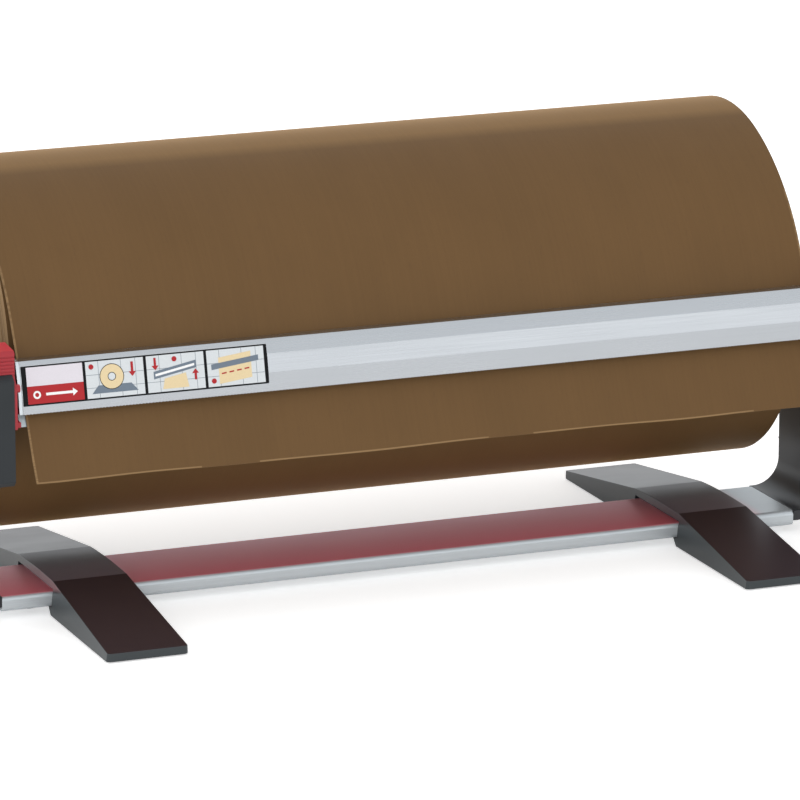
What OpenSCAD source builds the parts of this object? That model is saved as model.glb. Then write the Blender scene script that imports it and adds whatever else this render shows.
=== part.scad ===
// Table-top dispenser and cutter for gift wrap on a roll. The roll spins on an axle between two
// J-shaped side frames. A toothed rail in front, hung on two cranks, clamps the sheet, and red
// buttons in the end housings lift it so that a new sheet can be threaded.
// X runs along the roll, Y to the back and Z up. The table is at Z = 0.

/* [Roll] */
// Length of the paper roll
roll_length = 500; // [300:1:600]
// Diameter of the wound roll under its outermost sheet
roll_d = 218.6; // [180:0.2:260]
// Outer diameter of the cardboard core
core_od = 60; // [56:1:80]
// Wall of the cardboard core
core_wall = 4; // [2:0.5:6]
// Distance of the front of the roll in front of the middle of the base
roll_front = 42.3; // [41:0.1:46]
// Height of the underside of the roll above the table
roll_lift = 34.8; // [32:0.1:60]

/* [Sheet] */
// Thickness of the sheet that is pulled out, with its ripple
sheet_t = 0.6; // [0.3:0.1:0.8]
// Air between the sheet and what it passes
sheet_gap = 0.3; // [0.2:0.05:0.5]
// Air between the wound roll and the line that the sheet follows in the cutter
sheet_slack = 5.67; // [5:0.01:8]
// Height of the sheet's free end under the middle of the cutter
flap_drop = 53.6; // [30:0.1:60]
// Angle above the front of the roll at which the sheet starts to lift off
sheet_lift_angle = 65; // [55:1:80]
// Angle, past a full turn, at which the outermost sheet ends under itself
sheet_tuck_angle = 10; // [0:1:20]

/* [Base] */
// How much longer than the roll the base is
base_extra = 8.2; // [6:0.1:12]
// Width of the base, front to back
base_width = 63.7; // [58:0.1:70]
// Height of the base profile
base_height = 9.5; // [8:0.1:14]
// Height of the underside of the base above the table
base_lift = 5.8; // [5:0.1:10]
// Wall of the base profile
base_wall = 1.6; // [1.2:0.1:2.2]
// Radius of the long edges of the base
base_edge_r = 3; // [1:0.1:4]
// Distance of the base's two inner walls from its middle
base_rib_y = 10.2; // [8:0.1:14]

/* [Feet] */
// Distance of each foot's middle from the end of the base
foot_inset = 54.1; // [50:0.1:90]
// Width of a foot at the table
foot_width = 49.6; // [42:0.1:60]
// How far each side of a foot leans in towards its crown
foot_draft = 2.1; // [0:0.1:3]
// Reach of the foot in front of the middle of the base
foot_front = 133.7; // [110:0.1:150]
// Reach of the foot behind the middle of the base
foot_back = 139.6; // [110:0.1:160]
// Height of the top of the toes
toe_z = 5.7; // [3.8:0.1:6]
// Thickness of the foot over the base
foot_bridge = 5.8; // [5:0.1:8]
// Radius of the foot's corners in plan
foot_corner_r = 3; // [2:0.5:12]
// Wall of the hollow foot
foot_wall = 2.8; // [2:0.1:4]
// Diameter of a rubber pad
pad_d = 16; // [10:0.5:20]
// Height of a rubber pad
pad_h = 2.2; // [1.6:0.1:2.6]

/* [Side frames] */
// Thickness of the side frames
frame_t = 6.5; // [5:0.1:7]
// Inner radius of the bend of a side frame
bend_r = 17; // [12:0.5:24]
// Length of the tongues inside the base
tongue_length = 40; // [25:1:60]
// Height of the top of the frame over the axle's seat
frame_top_over_axle = 11.4; // [10.5:0.1:20]
// Radius of the curves where the strip widens into the head
frame_fillet_r = 34; // [20:1:36]

/* [Cutter] */
// Height of the middle of the cutter over the axle
cutter_over_axle = 5.9; // [4:0.1:8]
// Lean of the sheet in the cutter from upright
sheet_lean = 27; // [25:0.5:30]
// How much longer than the roll the toothed rail is
rail_extra = 6.4; // [4:0.1:6.6]
// Wall of the rail's profile
rail_wall = 2; // [1.4:0.1:2.2]
// Height of the rail's upper facet
facet_top = 8.9; // [7:0.1:10]
// Height of each of the rail's two lower facets
facet_low = 10.9; // [9:0.1:12]
// Radius of the rail's knuckle round its hinge line
knuckle_r = 3.5; // [3.2:0.1:4]
// Diameter of the rail's hinge pins
pin_d = 4; // [3:0.1:4.4]
// Pitch of the blade's teeth
tooth_pitch = 2; // [2:0.5:6]
// Depth of the blade's teeth
tooth_depth = 1; // [0.8:0.1:2.5]
// Thickness of the blade
blade_t = 0.8; // [0.5:0.1:1]
// Thickness of the end caps of the rail
cap_t = 2.2; // [1.6:0.1:3]
// Length of the label strip on the rail
label_length = 148.8; // [100:0.1:200]
// Height of the label strip
label_height = 22.4; // [16:0.1:24]
// Thickness of the label strip
label_t = 0.5; // [0.3:0.1:0.6]
// How much longer than the roll the back profile is
back_extra = 8.4; // [8:0.1:12]
// Wall of the back profile
back_wall = 2.2; // [1.6:0.1:3]

/* [End housings] */
// Reach of the housings in front of the sheet, at the middle of the cutter
housing_reach = 20.3; // [20:0.1:24]
// Height of the underside of the housings under the middle of the cutter
housing_drop = 56; // [50:0.5:60]
// Wall of the housings
housing_wall = 2.2; // [1.6:0.1:2.4]
// Gap between the end of the back profile and the inner face of the housing
housing_gap = 5.6; // [5.2:0.1:6]

/* [Buttons] */
// Height of the top of the buttons over the middle of the cutter
button_rise = 23; // [22.6:0.1:26]
// Depth of the top of the buttons, front to back
button_depth = 17.5; // [15:0.1:20]
// Travel of the buttons
button_travel = 4.5; // [3:0.1:4.5]
// Thickness of the leg on the inner face of the housing
button_leg_t = 1.6; // [0.8:0.1:1.8]
// Wire diameter of the button springs
spring_wire = 0.9; // [0.6:0.1:1.2]
// Coil diameter of the button springs, to the outside
spring_od = 9; // [7:0.1:9.4]

/* [Axle] */
// Diameter of the axle
axle_d = 14; // [10:0.5:16]
// Play of the axle in its bushes, on the radius
axle_play = 0.05; // [0.03:0.01:0.1]
// Outer diameter of an axle bush in its seat
bush_d = 20; // [18:0.5:21]
// Diameter of the flanges of a bush
bush_flange_d = 26; // [24:0.5:30]
// Thickness of the flanges of a bush
bush_flange_t = 2.2; // [1.5:0.1:3]
// Diameter of the flange of a core plug
plug_flange_d = 66; // [62:1:84]

/* [Hidden] */
$fn = 64;

// Clearances
free_gap = 0.3;      // between pieces that move past each other
fit_gap = 0.05;      // round a pin that turns, and round a tongue in its chamber
cut = 1;             // how far a cut runs past the face it opens

// The base, the rails and the feet follow the roll's length, and the axle its diameter
base_length = roll_length + base_extra;
rail_length = roll_length + rail_extra;
back_length = roll_length + back_extra;
foot_x = base_length / 2 - foot_inset;
axle_back = roll_d / 2 - roll_front;
axle_z = roll_d / 2 + roll_lift;

// Heights of the base and of the side frames
base_top = base_lift + base_height;
half_base = base_length / 2;
half_width = base_width / 2;
bend_x = half_base + 2.5;
bend_z = base_top + bend_r;
inner_x = bend_x + bend_r;
outer_x = inner_x + frame_t;
frame_top = axle_z + frame_top_over_axle;

// The outermost sheet lies round the roll and the object is centred on its depth
wrap_r = roll_d / 2 + sheet_gap + sheet_t / 2;
back_reach = max(axle_back + wrap_r + sheet_t / 2, foot_back);
base_y = (foot_front - back_reach) / 2;

// Middle of the cutter. Places at the cutter are given from the sheet there, to the back and up.
cutter_z = axle_z + cutter_over_axle;
cutter_front = (wrap_r + sheet_slack - cutter_over_axle * sin(sheet_lean)) / cos(sheet_lean) - axle_back;
function at_cutter(y, z) = [y - cutter_front, z + cutter_z];
housing_z = cutter_z - housing_drop;
button_top_z = cutter_z + button_rise;
sheet_end_z = cutter_z - flap_drop;

// A line in the cutter: s runs up along the sheet, d to the front, square to it
function along_sheet(s, d) = [
    -cutter_front + s * sin(sheet_lean) - d * cos(sheet_lean),
    cutter_z + s * cos(sheet_lean) + d * sin(sheet_lean)
];
sheet_half = sheet_t / 2 + sheet_gap;
hinge_s = 9.7;
hinge = along_sheet(hinge_s, sheet_half + knuckle_r);

// Front of the rail, three facets that turn a little more upright towards the blade
facet_leans = [19, 13, 8];
rail_depth = 9;
rail_crown = 4;
function below(p, length, lean) = [p[0] - length * sin(lean), p[1] - length * cos(lean)];
rail_f1 = [hinge[0] - rail_depth, hinge[1] + rail_crown];
rail_f2 = below(rail_f1, facet_top, facet_leans[0]);
rail_f3 = below(rail_f2, facet_low, facet_leans[1]);
rail_f4 = below(rail_f3, facet_low, facet_leans[2]);
rail_lean = atan2(rail_f1[0] - rail_f4[0], rail_f1[1] - rail_f4[1]);
rail_face = norm(rail_f1 - rail_f4);
rail_heel_s = (rail_f4[1] - cutter_z - sheet_half * sin(sheet_lean)) / cos(sheet_lean);
rail_heel = along_sheet(rail_heel_s, sheet_half);
rail_shoulder = along_sheet(hinge_s, sheet_half);
hollow_y = hinge[0] - knuckle_r + rail_wall;
hollow_corner = rail_heel + (rail_shoulder - rail_heel) * (hollow_y - rail_heel[0]) / (rail_shoulder[0] - rail_heel[0]);
rail_half = rail_length / 2;
cap_x = rail_half + cap_t;

// Back profile, an open channel behind the sheet
back_low_s = -26;
back_high_s = 13.5;
back_flange_y = at_cutter(12.7, 0)[0];
back_low_depth = 14;
back_half = back_length / 2;
port_r = 3.2;
port_bore_r = 1.7;
port_inset = 2.4;
port_low_s = -16;
port_high_s = 3;
ports = [for (s = [port_low_s, port_high_s]) along_sheet(s, -sheet_half - back_wall - port_inset)];

// Buttons, front to back
button_y0 = at_cutter(-15.3, 0)[0];
button_y1 = button_y0 + 22.5;
button_crest_y = button_y0 + button_depth;

// Housings, between the end of the rails and the side frame
housing_x = back_half + housing_gap;
housing_front = cutter_front + housing_reach;
housing_y0 = -housing_front;
housing_y1 = at_cutter(17.4, 0)[0];
housing_top = at_cutter(0, 9.2)[1];
roof_top = at_cutter(0, 19.4)[1];
bevel = [4.5, 3.2];
lip_h = 5;
lip_y = button_y0 - free_gap;
low_boss_y = 1.7;
low_boss_drop = 49;
high_boss_y = 10.9;
high_boss_drop = 12;
housing_bosses = [at_cutter(low_boss_y, -low_boss_drop), at_cutter(high_boss_y, -high_boss_drop)];
boss_r = 3.8;
thread_r = 1.5;

// Buttons, and the cranks that they press
button_x0 = housing_x - free_gap - button_leg_t;
button_x1 = inner_x - free_gap;
button_body_y1 = hinge[0] - 5;
pocket_x = housing_x + housing_wall + free_gap;
slab_z = button_top_z - 2.8;
leg_y1 = button_y0 + 9;
stem_y = button_y0 + 5.5;
stem_x = (pocket_x + button_x1) / 2;
stem_r = 2;
body_z = at_cutter(0, -2)[1];
spring_drop = 32;
spring_z0 = at_cutter(0, -spring_drop)[1];
crank_arm = 11.5;
crank_x0 = housing_x + 7.6;
crank_t = 4;
crank_r = 2;
boss_x1 = crank_x0 - 0.4;
bearing_r = 3.7;
finger_z = hinge[1] + crank_r + free_gap;

// Axle, bushes and plugs
axle_r = axle_d / 2;
bush_r = bush_d / 2;
seat_r = bush_r + free_gap;
bush_x0 = inner_x - free_gap - bush_flange_t;
bush_x1 = outer_x + free_gap + bush_flange_t;
axle_half = bush_x1 + 1.9;
core_r = core_od / 2 - core_wall;
half_roll = roll_length / 2;
plug_depth = 22;
plug_x = half_roll + free_gap;
plug_flange_t = 4;
hub_r = 14;
hub_x1 = bush_x0 - free_gap;
knob_r = 6;
knob_h = 7;
knob_screw_r = 2.5;
knob_x = plug_x + plug_flange_t + knob_r + 0.5;
plug_wall = 3;
plug_rib = 2.4;

// Screws from below: head under the base, thread in the foot or in the tongue
screw_y = 20;
screw_r = 1.7;
screw_head_r = 3.5;
screw_head_h = 2.2;
foot_thread = 4;
boss_thread = 7.6;
port_thread = 18;
upright_screw_x = half_base - 20;
foot_screw_dx = 12;

// Solids drawn along the row's axes from an outline in the plane square to them
module along_x(x0, x1) translate([x0, 0, 0]) rotate([90, 0, 90]) linear_extrude(x1 - x0) children();
module along_y(y0, y1) translate([0, y1, 0]) rotate([90, 0, 0]) linear_extrude(y1 - y0) children();
module on_side(side) mirror([side < 0 ? 1 : 0, 0, 0]) children();
module placed() translate([0, base_y, 0]) children();
module rod_x(x0, x1, r, at) translate([x0, at[0], at[1]]) rotate([0, 90, 0]) cylinder(h = x1 - x0, r = r);
module block(low, high) translate(low) cube(high - low);

// A rectangle with round corners, from one corner to the other
module round_rect(low, high, r) {
    translate([low[0] + r, low[1]]) square([high[0] - low[0] - 2 * r, high[1] - low[1]]);
    translate([low[0], low[1] + r]) square([high[0] - low[0], high[1] - low[1] - 2 * r]);
    for (x = [low[0] + r, high[0] - r], y = [low[1] + r, high[1] - r])
        translate([x, y]) circle(r);
}

// The outline that lies w inside a convex outline given clockwise
function moved_edge(p, q, w) = let (n = [q[1] - p[1], p[0] - q[0]] / norm(q - p)) [p + n * w, q + n * w];
function crossing(a, b) =
    let (u = a[1] - a[0], v = b[1] - b[0], k = u[0] * v[1] - u[1] * v[0], g = b[0] - a[0])
    a[0] + u * (g[0] * v[1] - g[1] * v[0]) / k;
function inset(points, w) = let (n = len(points)) [
    for (i = [0 : n - 1]) crossing(
        moved_edge(points[(i + n - 1) % n], points[i], w), moved_edge(points[i], points[(i + 1) % n], w))
];

// Screws point along +Z with the head's underside at the origin
module screw(length, r = screw_r) {
    translate([0, 0, -screw_head_h]) cylinder(h = screw_head_h, r = screw_head_r);
    cylinder(h = length, r = r);
}

// The flat base, a hollow extrusion with three chambers
module base_section() {
    difference() {
        round_rect([-half_width, base_lift], [half_width, base_top], base_edge_r);
        for (s = [-1, 1]) translate([s * (half_width + base_rib_y - base_wall / 2) / 2, base_lift + base_height / 2])
            square([half_width - base_rib_y - 1.5 * base_wall, base_height - 2 * base_wall], center = true);
        translate([0, base_lift + base_height / 2])
            square([2 * base_rib_y - base_wall, base_height - 2 * base_wall], center = true);
    }
}

function foot_screw_spots() = [
    for (s = [-1, 1], dx = [-foot_screw_dx, foot_screw_dx]) [s * foot_x + dx, -s * sign(dx) * screw_y]
];
function upright_screw_spots() = [for (s = [-1, 1], y = [-screw_y, screw_y]) [s * upright_screw_x, y]];

module base_extrusion() placed() color("silver") difference() {
    along_x(-half_base, half_base) base_section();
    for (p = concat(foot_screw_spots(), upright_screw_spots()))
        translate([p[0], p[1], base_lift - cut]) cylinder(h = base_wall + 2 * cut, r = screw_r + 0.1);
    for (p = foot_screw_spots())
        translate([p[0], p[1], base_top - base_wall - cut]) cylinder(h = base_wall + 2 * cut, r = screw_r + 0.1);
}

// Feet: two straight slopes, a slightly crowned middle over the base, and lips that hook under it
foot_floor = 0.8;
toe_solid = 26;
crown_front = -31;
crown_back = 34.5;
crown_z = base_top + foot_bridge;
crown_peak = 0.5;
crown_fall = 0.7;
lip_reach = 6;
function foot_outline(drop) = [
    [-foot_front, toe_z - drop], [crown_front, crown_z - drop],
    [crown_front + half_width, crown_z + crown_peak - drop],
    [crown_back, crown_z - crown_fall - drop], [foot_back, toe_z - drop]
];

// The foot seen along the base, narrower by the width w all round
module foot_front_view(w) polygon([
    [w - foot_width / 2, -cut], [w - foot_width / 2, 0], [w + foot_draft - foot_width / 2, crown_z],
    [w + foot_draft - foot_width / 2, crown_z + 2], [foot_width / 2 - foot_draft - w, crown_z + 2],
    [foot_width / 2 - foot_draft - w, crown_z], [foot_width / 2 - w, 0], [foot_width / 2 - w, -cut]
]);

module foot(side) placed() translate([side * foot_x, 0, 0]) color("#2b2628") difference() {
    intersection() {
        along_x(-foot_width / 2, foot_width / 2)
            polygon(concat([[-foot_front, foot_floor]], foot_outline(0), [[foot_back, foot_floor]]));
        linear_extrude(crown_z + 2)
            round_rect([-foot_width / 2, -foot_front], [foot_width / 2, foot_back], foot_corner_r);
        along_y(-foot_front - cut, foot_back + cut) foot_front_view(0);
    }
    // The slopes are hollow from below, and the base lies in the gap between them
    for (span = [[-foot_front + toe_solid, -half_width - foot_wall], [half_width + foot_wall, foot_back - toe_solid]])
        intersection() {
            along_x(-foot_width / 2, foot_width / 2) intersection() {
                polygon(concat([[-foot_front, -cut]], foot_outline(foot_wall), [[foot_back, -cut]]));
                translate([span[0], -cut]) square([span[1] - span[0], crown_z]);
            }
            along_y(span[0], span[1]) foot_front_view(foot_wall);
        }
    along_x(-foot_width / 2 - cut, foot_width / 2 + cut) polygon([
        [-half_width - fit_gap, base_top], [-half_width - fit_gap, base_lift - fit_gap],
        [lip_reach - half_width, base_lift - fit_gap], [-half_width, foot_floor], [-half_width, -cut],
        [half_width, -cut], [half_width, foot_floor], [half_width - lip_reach, base_lift - fit_gap],
        [half_width + fit_gap, base_lift - fit_gap], [half_width + fit_gap, base_top]
    ]);
    for (y = [pad_front_y, pad_back_y]) translate([0, y, -cut]) cylinder(h = pad_h + cut, r = pad_d / 2);
    for (p = foot_screw_spots()) if (sign(p[0]) == side)
        translate([p[0] - side * foot_x, p[1], base_top - cut]) cylinder(h = foot_thread + 0.2 + cut, r = screw_r);
}

pad_front_y = -foot_front + 13;
pad_back_y = foot_back - 13;

module foot_pads() placed() color("#303030")
    for (s = [-1, 1], y = [pad_front_y, pad_back_y]) translate([s * foot_x, y, 0])
        cylinder(h = pad_h, r = pad_d / 2);

module foot_screws() placed() color("gray")
    for (p = foot_screw_spots()) translate([p[0], p[1], base_lift]) screw(base_height + foot_thread);

// Side frames: tongues in the base, a bend, and a plate that widens to the axle and to the cutter
front_arm_z = housing_z;
rear_arm_drop = 32;
rear_arm_z = axle_z - rear_arm_drop;
rear_end_r = 22;
front_fillet_r = min(frame_fillet_r, housing_front - half_width - 4);
rear_fillet_r = min(frame_fillet_r, axle_back - half_width - 1);

function arc(centre, r, a0, a1, steps = 14) = [
    for (i = [0 : steps]) centre + r * [cos(a0 + (a1 - a0) * i / steps), sin(a0 + (a1 - a0) * i / steps)]
];

module upright_plate() polygon(concat(
    [[-half_width, bend_z]],
    arc([-half_width - front_fillet_r, front_arm_z - front_fillet_r], front_fillet_r, 0, 90),
    [[housing_y0 + 3, front_arm_z], [housing_y0, front_arm_z + 3], [housing_y0, housing_top - bevel[1]],
        [housing_y0 + bevel[0], housing_top], [button_y1 + free_gap, housing_top],
        [button_y1 + free_gap, roof_top], [housing_y1, roof_top], [housing_y1 + 10, frame_top],
        [axle_back + rear_end_r, frame_top]],
    arc([axle_back, rear_arm_z + rear_end_r], rear_end_r, 0, -90),
    arc([half_width + rear_fillet_r, rear_arm_z - rear_fillet_r], rear_fillet_r, 90, 180),
    [[half_width, bend_z]]
));

// Open seat for the axle bush, with a flared mouth
module axle_seat() {
    mouth = [[seat_r, frame_top - 4], [seat_r + 3, frame_top + cut]];
    rod_x(inner_x - cut, outer_x + cut, seat_r, [axle_back, axle_z]);
    along_x(inner_x - cut, outer_x + cut) polygon([
        [axle_back - seat_r, axle_z], [axle_back - mouth[0][0], mouth[0][1]], [axle_back - mouth[1][0], mouth[1][1]],
        [axle_back + mouth[1][0], mouth[1][1]], [axle_back + mouth[0][0], mouth[0][1]], [axle_back + seat_r, axle_z]
    ]);
}

module upright(side) placed() on_side(side) color("#3a3f42") difference() {
    union() {
        along_x(inner_x, outer_x) upright_plate();
        intersection() {
            difference() {
                along_y(-half_width, half_width) translate([bend_x, bend_z]) circle(bend_r + frame_t);
                along_y(-half_width - cut, half_width + cut) translate([bend_x, bend_z]) circle(bend_r);
            }
            block([bend_x, -half_width, bend_z - bend_r - frame_t], [outer_x, half_width, bend_z]);
        }
        block([half_base, -half_width, base_top - frame_t], [bend_x, half_width, base_top]);
        for (s = [-1, 1]) block(
            [half_base - tongue_length, s < 0 ? -half_width + base_wall + fit_gap
                : base_rib_y + base_wall / 2 + fit_gap, base_lift + base_wall + fit_gap],
            [half_base + 1, s < 0 ? -base_rib_y - base_wall / 2 - fit_gap
                : half_width - base_wall - fit_gap, base_top - base_wall - fit_gap]);
    }
    axle_seat();
    for (y = [-screw_y, screw_y]) translate([upright_screw_x, y, base_lift])
        cylinder(h = base_height - base_wall - 1, r = screw_r);
    for (p = housing_bosses) rod_x(inner_x - cut, outer_x + cut, screw_r + 0.1, p);
}

module upright_screws() placed() color("gray")
    for (p = upright_screw_spots()) translate([p[0], p[1], base_lift]) screw(base_height - base_wall - 1.2);

// End housings: a box that is open to the side frame, with the button's well on top
module housing_rim() {
    difference() {
        polygon([
            [housing_y0, housing_z + 3], [housing_y0, housing_top - bevel[1]],
            [housing_y0 + bevel[0], housing_top], [button_y1 + free_gap, housing_top],
            [button_y1 + free_gap, roof_top], [housing_y1, roof_top],
            [housing_y1, housing_z], [housing_y0 + 3, housing_z]
        ]);
        translate([housing_y0 + housing_wall, housing_z + housing_wall])
            square([housing_y1 - housing_y0 - 2 * housing_wall, roof_top - housing_z - 2 * housing_wall]);
        translate([lip_y, housing_z + 2 * housing_wall]) square([button_y1 + free_gap - lip_y, roof_top]);
    }
    // Lip over the toe of the button
    polygon([
        [housing_y0 + 1, housing_top - bevel[1] + 1], [housing_y0 + bevel[0], housing_top],
        [lip_y, housing_top], [lip_y, housing_top - lip_h], [housing_y0 + 1, housing_top - lip_h]
    ]);
}

wall_step_z = at_cutter(0, 1.7)[1];
bearing_z = hinge[1] + 4.5;

module housing_inner_wall() polygon([
    [housing_y0, housing_z + 3], [housing_y0, housing_top - bevel[1]],
    [housing_y0 + bevel[0], housing_top], [lip_y, housing_top], [lip_y, wall_step_z],
    [leg_y1 + free_gap, wall_step_z], [leg_y1 + free_gap, bearing_z], [button_y1 + free_gap, bearing_z],
    [button_y1 + free_gap, roof_top], [housing_y1, roof_top], [housing_y1, housing_z],
    [housing_y0 + 3, housing_z]
]);

module housing(side) placed() on_side(side) color("#3a3f42") difference() {
    union() {
        along_x(housing_x, inner_x) housing_rim();
        along_x(housing_x, housing_x + housing_wall) housing_inner_wall();
        rod_x(housing_x, boss_x1, bearing_r, hinge);
        for (p = ports) rod_x(back_half, housing_x + 1, port_r, p);
        for (p = housing_bosses) rod_x(housing_x + 1, inner_x, boss_r, p);
        translate([stem_x, stem_y, housing_z + 1]) cylinder(h = spring_z0 - housing_z - 1, r = 5);
    }
    rod_x(back_half - cut, boss_x1 + cut, pin_d / 2 + fit_gap, hinge);
    for (p = ports) rod_x(back_half - cut, housing_x + housing_wall + cut, screw_r + 0.1, p);
    for (p = housing_bosses) rod_x(inner_x - boss_thread - 0.4, inner_x + cut, screw_r, p);
    translate([stem_x, stem_y, housing_z + housing_wall]) cylinder(h = spring_z0, r = stem_r + free_gap);
}

module housing_screws() placed() color("gray")
    for (s = [-1, 1], p = housing_bosses) on_side(s)
        translate([outer_x, p[0], p[1]]) rotate([0, -90, 0]) screw(frame_t + boss_thread);

// Fixed back profile: an open channel, its front along the sheet, with two screw ports
module back_section() {
    low = along_sheet(back_low_s, -sheet_half);
    high = along_sheet(back_high_s, -sheet_half);
    polygon([
        low, high, [back_flange_y, high[1]], [back_flange_y, high[1] - back_wall],
        along_sheet(back_high_s - 3.4, -sheet_half - back_wall),
        along_sheet(back_low_s + 3.2, -sheet_half - back_wall),
        [low[0] + back_low_depth, low[1] + back_wall], [low[0] + back_low_depth, low[1]]
    ]);
}

module back_profile() placed() color("silver") difference() {
    union() {
        along_x(-back_half, back_half) back_section();
        for (p = ports) rod_x(-back_half, back_half, port_r, p);
    }
    for (p = ports) rod_x(-back_half - cut, back_half + cut, port_bore_r, p);
}

module back_profile_screws() placed() color("gray")
    for (s = [-1, 1], p = ports) on_side(s)
        translate([housing_x + housing_wall, p[0], p[1]]) rotate([0, -90, 0]) screw(port_thread);

// Toothed rail: a hollow wedge in front of the sheet, thick at the hinge and thin at the blade
knuckle = [for (a = [90 : -(90 + sheet_lean) / 9 : -sheet_lean - 1]) hinge + knuckle_r * [cos(a), sin(a)]];
rail_body = concat([rail_f1], knuckle, [rail_heel, rail_f4, rail_f3, rail_f2]);
rail_hollow = [rail_f1, [hollow_y, rail_f1[1]], hollow_corner, rail_heel, rail_f4, rail_f3, rail_f2];

// The label's seat is flat, square to the line from the top to the bottom of the facets
label_x0 = -cap_x + 2.9;
label_s = (rail_face - label_height) / 2 + 0.8;
module on_rail_face() translate([0, rail_f4[0], rail_f4[1]]) rotate([-rail_lean, 0, 0]) children();
module on_low_facet() translate([0, rail_f4[0], rail_f4[1]]) rotate([-facet_leans[2], 0, 0]) children();

module cutter_rail() placed() color("#c8ced2") difference() {
    along_x(-rail_half, rail_half) polygon(rail_body);
    along_x(-rail_half - cut, rail_half + cut) polygon(inset(rail_hollow, rail_wall));
    on_rail_face() block([label_x0 - 0.2, -5, label_s - 0.2],
        [label_x0 + label_length + 0.2, label_t - 0.2, label_s + label_height + 0.2]);
    on_low_facet() block([-rail_half - cut, rail_wall, -3],
        [rail_half + cut, rail_wall + blade_t + 2 * fit_gap, rail_wall + 2]);
    for (s = [-1, 1]) on_side(s) rod_x(rail_half - 12, rail_half + cut, pin_d / 2, hinge);
}

module label_strip() placed() color("white") on_rail_face() block(
    [label_x0, -0.2, label_s], [label_x0 + label_length, label_t - 0.2, label_s + label_height]);

// Blade: a steel strip in the rail's lower lip, its teeth just proud of the lip
tooth_root = 0.2;
module cutter_blade() placed() color("#d8dadc") on_low_facet() {
    count = floor((rail_length - 1) / tooth_pitch);
    half = count * tooth_pitch / 2;
    along_y(rail_wall + fit_gap, rail_wall + fit_gap + blade_t) polygon(concat(
        [[-half, 6]],
        [for (i = [0 : count - 1], k = [0, 1])
            [-half + (i + k / 2) * tooth_pitch, tooth_root - k * tooth_depth]],
        [[half, tooth_root], [half, 6]]
    ));
}

module rail_cap(side) placed() on_side(side) color("#b9bfc3") difference() {
    union() {
        along_x(rail_half, cap_x) polygon(rail_body);
        along_x(rail_half - 14, rail_half + 0.5) polygon(inset(rail_hollow, rail_wall + fit_gap));
    }
    rod_x(rail_half - cut, cap_x + cut, pin_d / 2, hinge);
    on_low_facet() block([rail_half - 15, rail_wall - 0.05, -3],
        [rail_half - 0.01, rail_wall + blade_t + 3 * fit_gap, 6.2]);
}

// Cranks: hinge pin, hub and an arm under the button's finger
module crank(side) placed() on_side(side) color("gray") {
    rod_x(rail_half - 12, crank_x0 + crank_t + 1, pin_d / 2, hinge);
    rod_x(crank_x0, crank_x0 + crank_t, 3.8, hinge);
    block([crank_x0, hinge[0], hinge[1] - crank_r], [crank_x0 + crank_t, hinge[0] + crank_arm, hinge[1] + crank_r]);
    rod_x(crank_x0, crank_x0 + crank_t, crank_r, [hinge[0] + crank_arm, hinge[1]]);
}

// Buttons: a ribbed head, a leg beside the rail, and a finger that presses the crank
leg_z = at_cutter(0, -22.5)[1];
foot_height = 3;
nub_r = 2.4;
nub_at = at_cutter(-16.6, 1);
grip_z = housing_top - 2;
rib_pitch = 2.1;
ribs = 6;
rib_cut = 0.6;
finger_t = 2.4;
finger_height = 4;
ledge_t = 1.6;
leg_step = 4;
toe_inset = 0.95;
toe_depth = 2.5;
stem_drop = 8;
finger_x1 = crank_x0 - 1.2;

module button(side) placed() on_side(side) color("#c0303a") difference() {
    union() {
        // Head, its top slightly higher at the back
        along_x(button_x0, button_x1) polygon([
            [button_y0, slab_z - rib_cut], [button_y0, button_top_z - 1.8], [button_y0 + 1.5, button_top_z - 0.4],
            [button_crest_y, button_top_z + 1], [button_crest_y, slab_z + ledge_t],
            [button_y1, slab_z + ledge_t], [button_y1, slab_z], [button_body_y1, slab_z]
        ]);
        along_x(button_x0, button_x1) polygon([
            [button_y0, grip_z], [button_y0, slab_z], [leg_y1, slab_z], [leg_y1, grip_z]
        ]);
        block([pocket_x, button_y0, body_z], [button_x1, button_body_y1, slab_z + 0.5]);
        block([pocket_x + 1, button_y0 - toe_depth, body_z], [button_x1 - 1, button_y0 + 1, housing_top - lip_h - 0.4]);
        // Leg with its guide boss and turned-in foot
        along_x(button_x0, button_x0 + button_leg_t) polygon([
            [button_y0 - leg_step, leg_z], [button_y0 - leg_step, housing_top - 2 * leg_step],
            [button_y0, housing_top - leg_step / 2], [button_y0, slab_z], [leg_y1, slab_z], [leg_y1, leg_z]
        ]);
        rod_x(cap_x + 0.4, button_x0 + 0.5, nub_r, nub_at);
        block([back_half + 0.4, button_y0, leg_z], [button_x0 + 0.5, leg_y1 - 2, leg_z + foot_height]);
        // Finger over the crank
        block([pocket_x, button_y1 - finger_t, finger_z - 1], [finger_x1, button_y1, slab_z + 0.5]);
        block([pocket_x, button_y1 - finger_t, finger_z - 1], [finger_x1, housing_y1 - 3, finger_z + finger_height]);
        block([pocket_x, hinge[0] + crank_arm - toe_inset, finger_z],
            [crank_x0 + crank_t, housing_y1 - 3, finger_z + finger_height]);
        translate([stem_x, stem_y, spring_z0 - stem_drop])
            cylinder(h = body_z - spring_z0 + stem_drop + 1, r = stem_r);
    }
    // Grip ribs on the front
    for (i = [0 : ribs - 1]) block([button_x0 - cut, button_y0 - cut, grip_z + 1 + rib_pitch * i],
        [button_x1 + cut, button_y0 + rib_cut, grip_z + 2 + rib_pitch * i]);
}

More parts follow.
